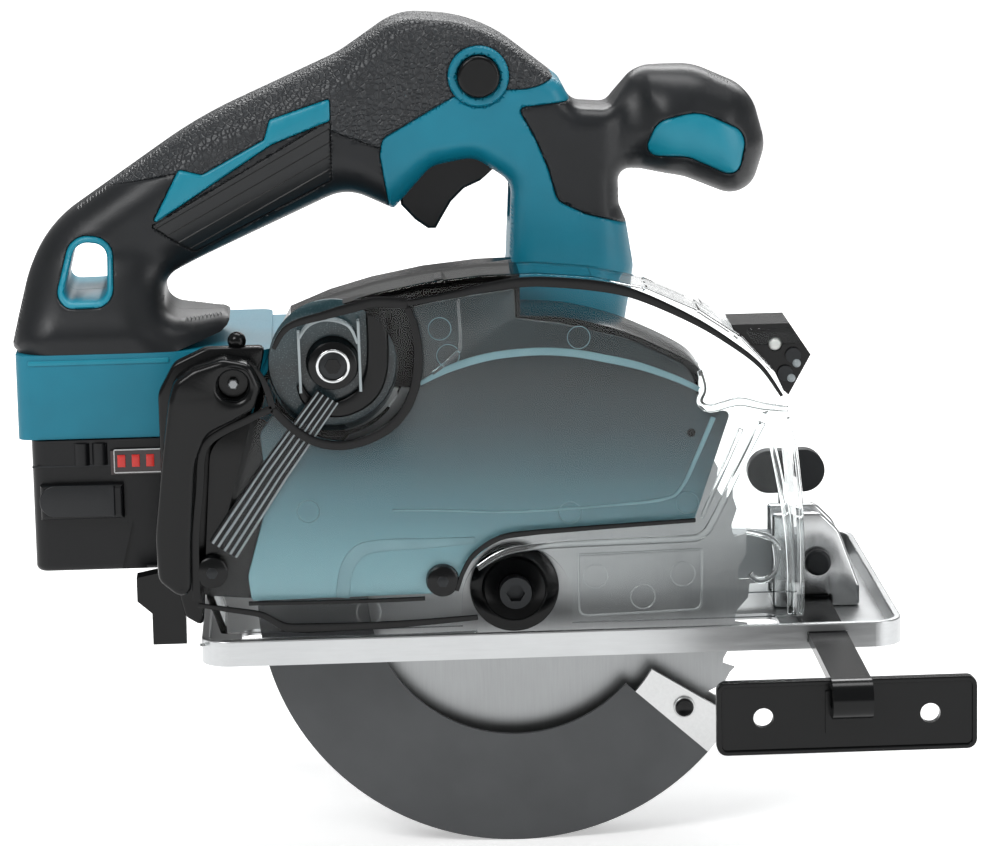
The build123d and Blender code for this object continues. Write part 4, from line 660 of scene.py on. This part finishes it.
def plate(name, outline, near, far, finish, edge=0.4, holes=()):
    """Flat solid of a side outline between two Y places, with its edges rounded."""
    lines = [wound(outline, True)] + [wound(hole, False) for hole in holes]
    turns = [math.pi / 6 * part for part in range(4)] if edge else [math.pi / 2]
    rows = [(edge * (1 - math.sin(turn)), near + edge * (1 - math.cos(turn))) for turn in turns]
    rows += [(gap, far + near - y) for gap, y in reversed(rows)]
    solid = bmesh.new()
    rims = []
    for line in lines:
        loops = [[solid.verts.new((x * MM, y * MM, z * MM)) for x, z in inset(line, gap)]
                 for gap, y in rows]
        for first, second in zip(loops, loops[1:]):
            for index in range(len(line)):
                after = (index + 1) % len(line)
                solid.faces.new((first[index], first[after], second[after], second[index]))
        rims.append(loops)
    for end in (0, -1):
        flat = [vertex for loops in rims for vertex in loops[end]]
        links, start = [], 0
        for line in lines:
            count = len(line)
            links += [(start + index, start + (index + 1) % count) for index in range(count)]
            start += count
        points = [Vector((vertex.co.x, vertex.co.z)) * 1000 for vertex in flat]
        made = geometry.delaunay_2d_cdt(points, links, [], 0, 1e-5)
        spots = table(made[0])
        centres = np.array([spots[list(face)].mean(0) for face in made[2]])
        inside = within(centres, spots_of(flat[:len(lines[0])]))
        start = len(lines[0])
        for line in lines[1:]:
            inside &= ~within(centres, spots_of(flat[start:start + len(line)]))
            start += len(line)
        for face, kept in zip(made[2], inside):
            corners = [flat[made[3][corner][0]] for corner in face if made[3][corner]]
            if kept and len(corners) == 3:
                solid.faces.new(corners)
    return finished(solid, name, finish)


def spots_of(vertices):
    return np.array([(vertex.co.x * 1000, vertex.co.z * 1000) for vertex in vertices])


def ribbon(name, path, widths, near, far, finish, edge=0.3):
    """Bar along an open line, with its widths spread along it."""
    points = table(path)
    ahead = np.gradient(points, axis=0)
    ahead /= np.hypot(ahead[:, 0], ahead[:, 1])[:, None]
    along = np.linspace(0, 1, len(points))
    half = np.interp(along, np.linspace(0, 1, len(widths)), widths)[:, None] / 2
    across = np.stack([-ahead[:, 1], ahead[:, 0]], 1) * half
    outline = np.concatenate([points + across, (points - across)[::-1]])
    return plate(name, outline, near, far, finish, edge)


def turned(name, x, z, profile, finish, count=40):
    """Solid of revolution about a line along Y, its (radius, y) profile from near to far."""
    solid = bmesh.new()
    turns = [2 * math.pi * index / count for index in range(count)]
    rings = [[solid.verts.new(
        ((x + radius * math.cos(turn)) * MM, y * MM, (z + radius * math.sin(turn)) * MM))
        for turn in turns] for radius, y in profile]
    for first, second in zip(rings, rings[1:]):
        for index in range(count):
            after = (index + 1) % count
            solid.faces.new((first[index], first[after], second[after], second[index]))
    solid.faces.new(rings[0])
    solid.faces.new(rings[-1])
    return finished(solid, name, finish)


def cut_copy(node, cutter, name, finish):
    """A merged copy of a CAD node with a cutter's shape taken away."""
    mesh = nodes[node].data.copy()
    merged = bmesh.new()
    merged.from_mesh(mesh)
    bmesh.ops.remove_doubles(merged, verts=merged.verts, dist=1e-6)
    merged.to_mesh(mesh)
    merged.free()
    piece = bpy.data.objects.new(name, mesh)
    bpy.context.collection.objects.link(piece)
    taken = piece.modifiers.new("cut", "BOOLEAN")
    taken.operation, taken.solver, taken.object = "DIFFERENCE", "EXACT", cutter
    result = bpy.data.meshes.new_from_object(piece.evaluated_get(bpy.context.evaluated_depsgraph_get()))
    piece.modifiers.clear()
    piece.data = result
    result.name = name
    result.materials.clear()
    result.materials.append(finish)
    bpy.data.objects.remove(cutter)
    return piece


# -------- blade case, tinted panel and clear cover
# Near and far Y places of the layers that lie on the case, from the inside out
cutter_layer, roof_layer = (-50.0, -20.0), (-58.2, -27.2)
shadow_layer, panel_layer = (-58.1, -56.9), (-59.6, -58.3)
lip_layer, panel_mark_layer = (-60.0, -59.4), (-59.8, -59.5)
trim_layer, ridge_layer = (-62.5, -61.7), (-63.2, -61.4)
low_frame_layer, ejector_layer = (-62.7, -61.7), (-62.4, -61.8)


def on_case(piece, *replaced):
    return add(piece, "saw_body", "case_black", *replaced)


def on_cover(piece):
    return add(piece, "saw_body", "clear_plastic")


def on_panel(piece, *replaced):
    return add(piece, "saw_body", "smoked_plastic", *replaced)


case_arc = flowing([
    (2.7, 104.8), (14.9, 104.0), (24.1, 102.2), (35.6, 98.6), (47.1, 93.6), (54.7, 89.5), (58.4, 86.0)])
open_top = plate(
    "case_cutter", [*straight([(1.6, 130.0), (1.6, 106.8)]), *case_arc,
                    *straight([(64.0, 80.0), (100.0, 80.0), (100.0, 130.0)])],
    *cutter_layer, gloss_black, 0.0)
on_case(cut_copy("blade_case", open_top, "blade_case_open", gloss_black), "blade_case")
on_case(ribbon("case_roof", [*straight([(1.6, 118.0), (1.6, 106.4)]), *case_arc],
               (2.6, 2.6, 2.6, 1.6, 1.0), *roof_layer, gloss_black))

panel_rim = rounded([
    (-82.0, 19.2, 1.0), (-83.0, 27.0, 6.0), (-76.0, 52.0, 20.0), (-78.0, 72.0, 4.0),
    (-72.5, 79.5, 1.0), (-60.0, 68.0, 22.0), (-40.0, 70.0, 18.0), (-28.0, 84.0, 20.0),
    (-30.0, 110.0, 1.0), (-16.0, 112.5, 8.0), (1.0, 114.6, 0.5), (1.2, 105.6, 0.5),
    (15.0, 103.6, 30.0), (35.6, 98.2, 40.0), (55.0, 88.6, 8.0), (57.2, 77.5, 1.0),
    (60.0, 75.2, 1.0), (67.2, 74.6, 1.5), (55.7, 41.0, 1.0), (13.8, 38.8, 30.0),
    (-4.8, 37.0, 16.0), (-16.2, 27.6, 10.0), (-19.6, 19.8, 3.0)])
shadow_rim = rounded([
    (-97.0, 21.0, 1.5), (-93.6, 69.0, 10.0), (-76.5, 77.8, 4.0), (-74.0, 72.0, 4.0),
    (-74.0, 52.0, 10.0), (-80.0, 19.6, 1.0)])


def tinted(name, stops):
    """Smoked panel: a tint that lightens downward as painted light, cloudy, with fine grain."""
    lean, cloud_reach, lowest_z, span = 0.05, 16.0, 15.0, 100.0
    surface = Surface(name, Coat_Weight=0.35, Coat_Roughness=0.06)
    x, y, z = surface.axes()
    cloud = surface.noise(11.0, 3.0, surface.stretched((0.5, 1.0, 2.0)))
    # Painted light: the colour ramp runs by height on the panel
    height = (z + x * lean + cloud * cloud_reach - cloud_reach / 2 - lowest_z) / span
    grit = surface.noise(2600.0, 3.0)
    painted_light_ramp = surface.node("ShaderNodeValToRGB", {
        "stops": [(place, tint(code)) for place, code in stops]}, {0: height})
    speckle = surface.mix(grit.over(0.62, 0.05) * 0.22, painted_light_ramp, tint("A9C3C8"))
    return surface.shade(Base_Color=speckle, Roughness=0.36, Normal=surface.bump(grit, 0.02 * MM))


# The panel's light lower part and darker middle are painted light over its smoked colour
panel_smoke_and_painted_light = tinted("panel_smoke_and_painted_light", [
    (0.0, "84B0B9"), (0.16, "6A98A2"), (0.30, "4C7782"), (0.42, "30525B"), (0.56, "1B323A"),
    (0.72, "101D22"), (0.88, "142429"), (1.0, "1D3036")])
# Light teal for the panel's lips and mould-mark rings: painted highlight on their edges
edge_highlight_tint = moulded("panel_lip", "7FA3AB", "6E929A", 0.32, 0.01)
on_panel(plate("tinted_panel_shaped", panel_rim, *panel_layer, panel_smoke_and_painted_light, 0.4), "tinted_panel")
on_case(plate("panel_shadow", shadow_rim, *shadow_layer, gloss_black, 0.3))

# Bars on the panel and the cover: the places that their lines run through, and their widths
panel_lips = {
    "panel_lip_upper": (
        [(-28.4, 86.1), (-24.0, 88.4), (-19.1, 90.6), (-12.0, 92.8), (-3.7, 94.4), (8.0, 95.1),
         (18.0, 94.4), (27.0, 92.7), (39.3, 89.6), (50.8, 85.2), (57.4, 81.8)],
        (1.2, 2.4, 2.4, 2.4, 1.6)),
    "panel_lip_front": (
        [(61.8, 73.0), (56.6, 61.0), (51.6, 51.0), (46.0, 47.6), (30.0, 46.2), (0.0, 45.0),
         (-24.0, 46.2), (-38.0, 46.6)], (1.6, 1.0, 0.7, 0.5)),
    "panel_lip_rear": (
        [(-54.0, 19.4), (-52.6, 28.2), (-48.4, 34.0), (-41.0, 35.6), (-26.0, 35.9), (-12.6, 36.4)],
        (4.2, 4.2, 3.6, 2.0)),
}
black_trims = {
    "pocket_ring": (
        [(-73.8, 80.0), (-68.6, 74.4), (-61.9, 69.7), (-54.2, 67.9), (-46.5, 69.0), (-38.7, 72.7),
         (-33.2, 78.4), (-29.8, 86.5), (-28.8, 95.8), (-29.6, 103.6), (-31.8, 110.4)],
        (2.4, 2.8, 3.0, 2.8, 2.0)),
    "door_trim": ([(-81.0, 94.8), (-77.3, 90.4), (-75.2, 85.5), (-73.8, 80.0)], (1.6, 2.2)),
    "rear_trim": (
        [(-99.0, 20.6), (-98.8, 39.1), (-97.0, 54.8), (-95.9, 66.0), (-93.3, 70.6), (-88.6, 73.6),
         (-82.4, 76.4), (-77.7, 78.6), (-73.8, 80.0)], (2.4, 2.4)),
    "top_trim": (
        [(-31.8, 111.6), (-18.6, 113.6), (-8.0, 115.6), (2.0, 117.0), (12.0, 116.9), (28.2, 115.0),
         (39.6, 111.7), (54.9, 104.3), (66.4, 97.0), (76.3, 88.9), (82.8, 79.4)],
        (1.8, 3.0, 3.4, 2.0, 1.0)),
    "pocket_top_trim": (
        [(-73.0, 98.6), (-68.2, 105.3), (-56.9, 108.6), (-48.0, 110.8), (-40.8, 112.2),
         (-31.8, 111.4)], (1.4, 3.0, 3.4)),
    "foot_trim": (
        [(-98.6, 19.0), (-90.0, 17.4), (-79.5, 15.4), (-74.0, 12.2), (-70.5, 10.9), (-60.0, 10.6),
         (-36.4, 11.0), (-12.3, 12.4)], (1.4, 2.0, 3.0, 1.6)),
    "panel_under_trim": ([(-83.0, 19.0), (-60.0, 18.7), (-41.7, 18.7), (-28.5, 18.9)], (1.3, 1.3)),
    "front_under_trim": (
        [(-18.6, 21.0), (-16.4, 27.2), (-12.6, 32.7), (-4.8, 37.4), (5.0, 38.7), (13.8, 39.2),
         (35.0, 40.2), (55.7, 41.1)], (1.2, 1.8, 1.3)),
}
clear_ridges = {
    "ridge_under_panel": (
        [(-12.0, 28.0), (-4.0, 32.6), (8.0, 34.4), (30.0, 35.0), (52.0, 35.4), (57.6, 36.4),
         (61.4, 41.4), (69.4, 57.6), (76.6, 71.4)], (1.6, 2.2, 2.2)),
    "ridge_panel_front": ([(57.6, 42.0), (62.6, 53.0), (70.0, 69.6)], (1.2, 1.6)),
    "ridge_latch": (
        [(57.4, 88.2), (58.6, 82.6), (57.4, 78.4), (60.8, 76.2), (69.3, 78.0), (77.0, 76.4),
         (84.6, 75.3)], (1.6, 2.0, 2.6, 1.6)),
    "ridge_front_inner": (
        [(77.6, 74.6), (81.0, 58.0), (84.0, 41.4), (85.1, 25.4), (85.0, 10.5)], (1.8, 2.6, 2.0)),
    "ridge_front_outer": (
        [(84.6, 72.6), (87.0, 60.0), (88.4, 44.0), (88.8, 28.0), (88.4, 10.5)], (1.0, 1.4, 1.2)),
    "ridge_pocket_side": ([(-16.3, 112.4), (-15.9, 98.6), (-18.0, 94.6), (-24.6, 89.6)], (1.0, 1.4, 1.0)),
    "ridge_hook_upper": ([(71.2, 37.2), (75.0, 36.4), (79.4, 34.6), (82.1, 31.4)], (1.6, 2.0, 1.0)),
    "ridge_hook_lower": (
        [(80.0, 33.0), (80.7, 26.0), (78.6, 22.4), (75.0, 21.6), (72.4, 23.6)], (1.4, 1.8, 2.0)),
    "ridge_foot": ([(-98.6, 6.4), (-83.0, 7.4), (-36.6, 7.4), (-12.5, 8.0)], (0.8, 0.8)),
}
for bars, layer, finish, edge, parts, fit in (
        (panel_lips, lip_layer, edge_highlight_tint, 0.2, 6, on_panel),
        (black_trims, trim_layer, gloss_black, 0.2, 6, on_case),
        (clear_ridges, ridge_layer, clear_ridge, 0.3, 8, on_cover)):
    for name, (places, widths) in bars.items():
        fit(ribbon(name, flowing(places, parts), widths, *layer, finish, edge))

low_frame = rounded([(18.8, 31.6, 1.0), (18.8, 11.4, 3.0), (57.5, 12.4, 2.4), (57.9, 32.2, 1.0)], 1.0)
on_cover(plate("cover_frame_low", low_frame, *low_frame_layer, clear_ridge, 0.2, [hollow(low_frame, 0.7)]))
ejector_places = [(24.4, 24.2), (51.6, 24.1), (39.1, 17.3), (-46.0, 15.0)]
mark_places = [(20.6, 99.1), (53.4, 46.3), (17.0, 44.2), (-63.8, 47.0), (-22.0, 103.0), (-19.6, 94.6)]
for label, places, outer, inner, layer, finish, fit in (
        ("ejector_mark", ejector_places, 4.0, 3.6, ejector_layer, clear_ridge, on_cover),
        ("panel_mark", mark_places, 3.6, 3.35, panel_mark_layer, edge_highlight_tint, on_panel)):
    for number, (x, z) in enumerate(places):
        fit(plate(f"{label}_{number}", circle_line(x, z, outer, 32), *layer, finish, 0.1,
                  [circle_line(x, z, inner, 32)]))
on_case(turned("panel_hole", 54.9, 68.3, [(1.3, -59.75), (1.3, -59.2)], gloss_black, 24))

# Bolt pocket, strut and small bosses behind the clear cover
# Light grey: painted highlight on the strut's clear ribs, and the lamp bulbs' own pale grey
rib_highlight_and_bulb_grey = moulded("painted_rib_highlight_and_bulb", "9BA3A6", "868E91", 0.2, 0.01)
# The pocket floor's teal gradient is painted light, standing in for the teal that shows in the pocket
pocket_painted_light = tinted("pocket_painted_light", [(0.0, "1C4A54"), (0.55, "17343B"), (0.72, "0F1F24"), (1.0, "22474F")])
bolt_x, bolt_z, pocket_back = -55.0, 92.5, -54.2
on_panel(turned("pocket_floor", bolt_x, bolt_z, [(19.6, -53.9), (19.8, -53.6)], pocket_painted_light, 64))
pocket_u = flowing([
    (-41.2, 108.0), (-41.0, 96.0), (-42.0, 88.0), (-45.4, 82.0), (-52.0, 78.4), (-58.6, 78.6),
    (-63.4, 81.6), (-65.4, 86.0)])
on_case(ribbon("pocket_u", pocket_u, (6.5, 7.0, 5.0, 2.0), -56.6, pocket_back, gloss_black, 0.8))
pocket_strips = {
    "pocket_post_left": [(-65.0, 84.0), (-65.3, 103.0)],
    "pocket_post_right": [(-46.6, 84.0), (-46.9, 106.0)],
    "pocket_arch": [(-65.2, 101.0), (-62.0, 105.0), (-56.5, 106.6), (-50.0, 104.6), (-47.2, 99.0)],
}
# The posts and arch are light grey strips: painted highlights along the pocket's clear ridges
for name, places in pocket_strips.items():
    on_cover(ribbon(name, flowing(places), (0.9, 0.9), -59.6, pocket_back, highlight_strip, 0.3))
boss_profile = [(6.6, -60.6), (7.4, -60.2), (8.0, -58.0), (8.2, -54.0), (8.6, -53.4)]
on_case(turned("bolt_boss", bolt_x, bolt_z, boss_profile, gloss_black))
add(plate("bolt_ring", circle_line(bolt_x, bolt_z, 5.3, 48), -61.5, -60.4, chrome, 0.35,
          [circle_line(bolt_x, bolt_z, 4.3, 48)]), "saw_body", "steel_bright")
add(turned("bolt_face", bolt_x, bolt_z, [(3.6, -61.3), (4.1, -61.0), (4.2, -60.4)], black_steel),
    "saw_body", "black_steel")
add(turned("bolt_socket", bolt_x, bolt_z, [(2.5, -61.6), (2.6, -61.2)], gloss_black, 6),
    "saw_body", "black_steel")

strut_places = [(-57.0, 83.0), (-74.0, 60.0), (-90.4, 36.0)]
on_case(ribbon("cover_strut", straight(strut_places), (7.4, 8.6, 9.8), -60.9, -59.6, black_plastic, 0.5))
# The strut's ribs are light grey strips: painted highlights along clear ribs
rib_spread = [(1.0, 0.6), (1.1, 0.7), (1.2, 0.8)]
for number, offset in enumerate((-2.6, -1.2, 0.4, 1.8, 3.2)):
    rib = straight([(x + offset * forward, z - offset * down)
                    for (x, z), (forward, down) in zip(strut_places, rib_spread)])
    on_cover(ribbon(f"strut_rib_{number}", rib, (0.5, 0.8), -61.4, -60.8, rib_highlight_and_bulb_grey, 0.2))
for number, (x, z) in enumerate([(-94.0, 29.0), (-22.9, 24.1)]):
    on_case(turned(f"cover_lobe_{number}", x, z, [(4.2, -62.6), (4.8, -62.2), (5.2, -60.0)], gloss_black))
    add(turned(f"lobe_pin_{number}", x, z, [(1.5, -63.0), (1.9, -62.8), (1.9, -62.5)], black_steel, 6),
        "saw_body", "black_steel")

# -------- rear frame, chip door and latch
door_near, door_far, door_edge = -65.7, -52.9, 1.9
door_rim = rounded([
    (-103.6, 89.4, 5.0), (-97.7, 93.4, 7.0), (-88.5, 96.2, 6.0), (-79.9, 94.4, 4.2), (-77.0, 87.4, 4.2),
    (-79.4, 80.4, 3.6), (-86.1, 76.8, 8.0), (-94.2, 73.0, 7.0), (-97.9, 64.0, 16.0), (-99.9, 40.5, 40.0),
    (-100.6, 20.8, 3.0), (-105.5, 23.3, 6.0), (-110.4, 27.5, 4.0), (-111.0, 41.0, 30.0),
    (-108.2, 64.2, 40.0), (-105.4, 83.6, 12.0)])
lobe_x, lobe_z = -85.6, 87.9
add(plate("chip_door_shaped", door_rim, door_near, door_far, gloss_black, door_edge,
          [circle_line(lobe_x, lobe_z, 4.7, 36)]), "chip_door", "case_black", "chip_door")
frame_near, frame_far = -52.6, -47.0
frame_rim = rounded([
    (-97.4, 9.5, 1.4), (-103.0, 13.0, 3.0), (-109.0, 40.0, 20.0), (-109.0, 84.0, 7.0), (-104.0, 93.0, 5.0),
    (-94.0, 97.6, 6.0), (-75.6, 97.6, 1.6), (-79.0, 82.0, 12.0), (-96.4, 21.4, 4.0)])
on_case(plate("rear_frame_shaped", frame_rim, frame_near, frame_far, gloss_black, 1.0), "rear_frame")
on_case(turned("door_pin_floor", lobe_x, lobe_z, [(4.4, -59.4), (4.5, -53.4)], gloss_black))
add(turned("door_pin", lobe_x, lobe_z, [(1.3, -62.6), (1.7, -62.3), (1.8, -59.2)], alloy_grey, 6),
    "saw_body", "steel_bright")
ball_radius, ball_y = 2.9, -49.4
ball_turns = [math.pi * part / 12 for part in range(1, 12)]
ball_profile = [(ball_radius * math.sin(turn), ball_y - ball_radius * math.cos(turn)) for turn in ball_turns]
on_case(turned("door_ball", -84.3, 99.2, ball_profile, gloss_black))

# -------- battery and dock
gauge_red = moulded("gauge_lamp_red", "E8342C", "D82C26", 0.25, 0.005)
gauge_line = moulded("gauge_outline", "D6D8D8", "C8CACA", 0.4, 0.005)
gauge_near, gauge_far = -34.0, -33.3
gauge_rim = oblong(-124.3, 55.4, -101.0, 63.0, 0.5, 0.4)
add(plate("gauge_frame", gauge_rim, gauge_near, gauge_far, gauge_line, 0.1, [hollow(gauge_rim, 0.35)]),
    "battery", "gauge_dark")
lamp_half = 1.25
for number, x in enumerate((-121.9, -117.4, -112.9, -108.4)):
    lamp_rim = oblong(x - lamp_half, 57.3, x + lamp_half, 61.2, 0.2, 0.4)
    add(plate(f"gauge_lamp_{number}", lamp_rim, -33.9, gauge_far, gauge_red, 0.15), "battery", "gauge_dark")
pad_rim = rounded([(-124.3, 42.0, 0.6), (-124.3, 52.2, 0.6), (-147.8, 52.4, 4.9), (-147.8, 42.4, 4.9)], 0.6)
add(plate("bumper_pad", pad_rim, -36.2, -35.3, soft_smooth, 0.4), "battery", "case_black")
seam_rim = oblong(-149.9, 57.6, -104.0, 58.2, 0.1, 0.3)
add(plate("battery_seam", seam_rim, -32.62, -32.4, black_steel, 0.05), "battery", "case_black")
# The dock's top step is drawn in the lighter trim teal: a painted highlight along its top edge
step_rim = oblong(-150.0, 89.8, -106.0, 91.4, 0.4, 0.4)
add(plate("dock_step", step_rim, -31.95, -31.3, teal_trim, 0.25), "saw_body", "teal_plastic")

# -------- fence, hinge bracket, guard tip and flange
fence_left, fence_right, fence_low, fence_high, fence_wall = 56.0, 134.0, -18.0, 4.4, 1.5
fence_edge = oblong(fence_left, fence_low, fence_right, fence_high, 3.0, 0.8)
add(plate("fence_rim", fence_edge, -121.75, -120.9, coated_black, 0.4, [hollow(fence_edge, fence_wall)]),
    "fence", "black_steel")

bracket_rear, bracket_front, foot_rear, foot_front, bracket_floor = 84.0, 112.0, 89.6, 102.4, 2.0
cheek_rim = rounded([
    (bracket_rear, bracket_floor, 1.2), (foot_rear, bracket_floor, 1.2), (foot_rear, 5.7, 0.3),
    (foot_front, 5.7, 0.3), (foot_front, bracket_floor, 1.2), (bracket_front, bracket_floor, 1.2),
    (bracket_front, 9.0, 2.0), (105.5, 27.0, 9.0), (99.5, 33.0, 5.0), (bracket_rear, 33.0, 1.2)], 0.4)
pin_hole = circle_line(98.5, 17.0, 3.1, 28)
for name, near, far in (("bracket_cheek_near", -20.2, -16.2), ("bracket_cheek_far", -6.2, -2.2)):
    add(plate(name, cheek_rim, near, far, plated, 1.0, [pin_hole]), "base", "bracket_steel", "pivot_bracket")
for name, left, right in (("bracket_foot_front", foot_front, bracket_front),
                          ("bracket_foot_rear", bracket_rear, foot_rear)):
    add(plate(name, oblong(left, bracket_floor, right, 5.0, 0.4, 0.4), -17.0, -5.4, plated, 0.3),
        "base", "bracket_steel", "pivot_bracket")
rivet_profile = [(1.4, -52.5), (2.4, -53.0), (2.8, -52.8), (3.0, -52.0)]
add(turned("tip_rivet", 52.4, -21.3, rivet_profile, gloss_black, 32), "lower_guard", "black_steel")
arbor_x, arbor_z = 0.0, 17.5
flange_profile = [
    (9.4, -48.0), (9.8, -48.3), (10.0, -48.1), (10.4, -47.0), (13.4, -46.2), (13.9, -45.8), (14.0, -45.2),
    (14.0, -42.8), (10.0, -42.65)]
add(turned("flange_disc", arbor_x, arbor_z, flange_profile, coated_black, 64),
    "blade_unit", "steel_bright", "outer_flange")

# -------- lamp at the front of the cover
window_rim = rounded([(72.0, 99.6, 1.0), (86.5, 99.6, 3.0), (90.4, 94.6, 1.0), (74.6, 94.6, 1.0)], 0.6)
on_cover(plate("lamp_window", window_rim, -56.9, -55.8, clear_plastic, 0.3))
for number, (x, z) in enumerate([(88.0, 88.6), (86.3, 84.0)]):
    add(turned(f"lamp_bulb_{number}", x, z, [(0.6, -57.9), (1.1, -57.6), (1.3, -57.2)], rib_highlight_and_bulb_grey, 24),
        "saw_body", "lamp_white")

# -------- floor, light and camera
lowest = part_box("guard_shell")[0][2]
reach, near_glow, far_glow, glow_edge, glow_blur = 6.0, 0.42, 0.8, 1000.0, 450.0
floor_mesh = bpy.data.meshes.new("studio_floor")
corners = [(-reach, -reach), (reach, -reach), (reach, reach), (-reach, reach)]
floor_mesh.from_pydata([(x, y, lowest) for x, y in corners], [], [(0, 1, 2, 3)])
floor = bpy.data.objects.new("studio_floor", floor_mesh)
bpy.context.collection.objects.link(floor)
paper = Surface("studio_paper", Roughness=0.9, Base_Color=tint("F8F8F8"), Emission_Strength=1.0)
rays = [paper.node("ShaderNodeLightPath", output=kind)
        for kind in ("Is Camera Ray", "Is Glossy Ray", "Is Transmission Ray")]
seen = rays[0].most(rays[1]).most(rays[2])
x, y, z = paper.axes()
distant = (x * x + y * y).math("SQRT").over(glow_edge, glow_blur)
glow = paper.mix(distant, (near_glow, near_glow, near_glow, 1.0), (far_glow, far_glow, far_glow, 1.0))
floor_mesh.materials.append(paper.shade(Emission_Color=paper.mix(seen, (0.0, 0.0, 0.0, 1.0), glow)))

sky_light, sky_seen = 0.30, 1.0
world = bpy.data.worlds.new("studio")
bpy.context.scene.world = world
world.use_nodes = True
sky = world.node_tree
background = sky.nodes["Background"]
background.inputs["Color"].default_value = (1.0, 1.0, 1.0, 1.0)
paths = sky.nodes.new("ShaderNodeLightPath")
strength = sky.nodes.new("ShaderNodeMix")
strength.inputs[2].default_value, strength.inputs[3].default_value = sky_light, sky_seen
sky.links.new(paths.outputs["Is Camera Ray"], strength.inputs[0])
sky.links.new(strength.outputs[0], background.inputs["Strength"])


def softbox(name, place, aim, size, power):
    lamp = bpy.data.lights.new(name, "AREA")
    lamp.shape = "RECTANGLE"
    lamp.size, lamp.size_y = size
    lamp.energy = power
    holder = bpy.data.objects.new(name, lamp)
    holder.location = place
    holder.rotation_euler = (Vector(aim) - Vector(place)).to_track_quat("-Z", "Y").to_euler()
    bpy.context.collection.objects.link(holder)


# Place, aim and size in metres, power in watts
softbox("key", (-0.9, -1.1, 1.3), (0, 0, 0.05), (0.7, 0.7), 15)
softbox("fill", (1.2, -1.0, 0.5), (0, 0, 0.05), (0.5, 1.0), 6)
softbox("top", (0.1, 0.3, 1.5), (0, 0, 0.05), (1.2, 0.5), 12)
softbox("rim", (0.2, 1.2, 0.8), (0, 0, 0.08), (1.2, 0.4), 9)

camera = bpy.data.cameras.new("camera")
camera.lens = 151.2
camera.sensor_width = 36.0
camera.clip_start = 0.01
camera_object = bpy.data.objects.new("camera", camera)
bpy.context.collection.objects.link(camera_object)
turn_deg, tilt_deg, roll_deg = -2.44, 11.14, 1.2
camera_place = (-0.05808, -1.3267, 0.32274)
turn, tilt, roll = (math.radians(angle) for angle in (turn_deg, tilt_deg, roll_deg))
back = Vector((math.sin(turn) * math.cos(tilt), -math.cos(turn) * math.cos(tilt), math.sin(tilt)))
level = Vector((math.cos(turn), math.sin(turn), 0.0))
above = back.cross(level)
right = level * math.cos(roll) - above * math.sin(roll)
upward = level * math.sin(roll) + above * math.cos(roll)
camera_object.matrix_world = Matrix.Translation(camera_place) @ Matrix(
    (right, upward, back)).transposed().to_4x4()
bpy.context.scene.camera = camera_object
bpy.context.scene.view_settings.view_transform = "Standard"
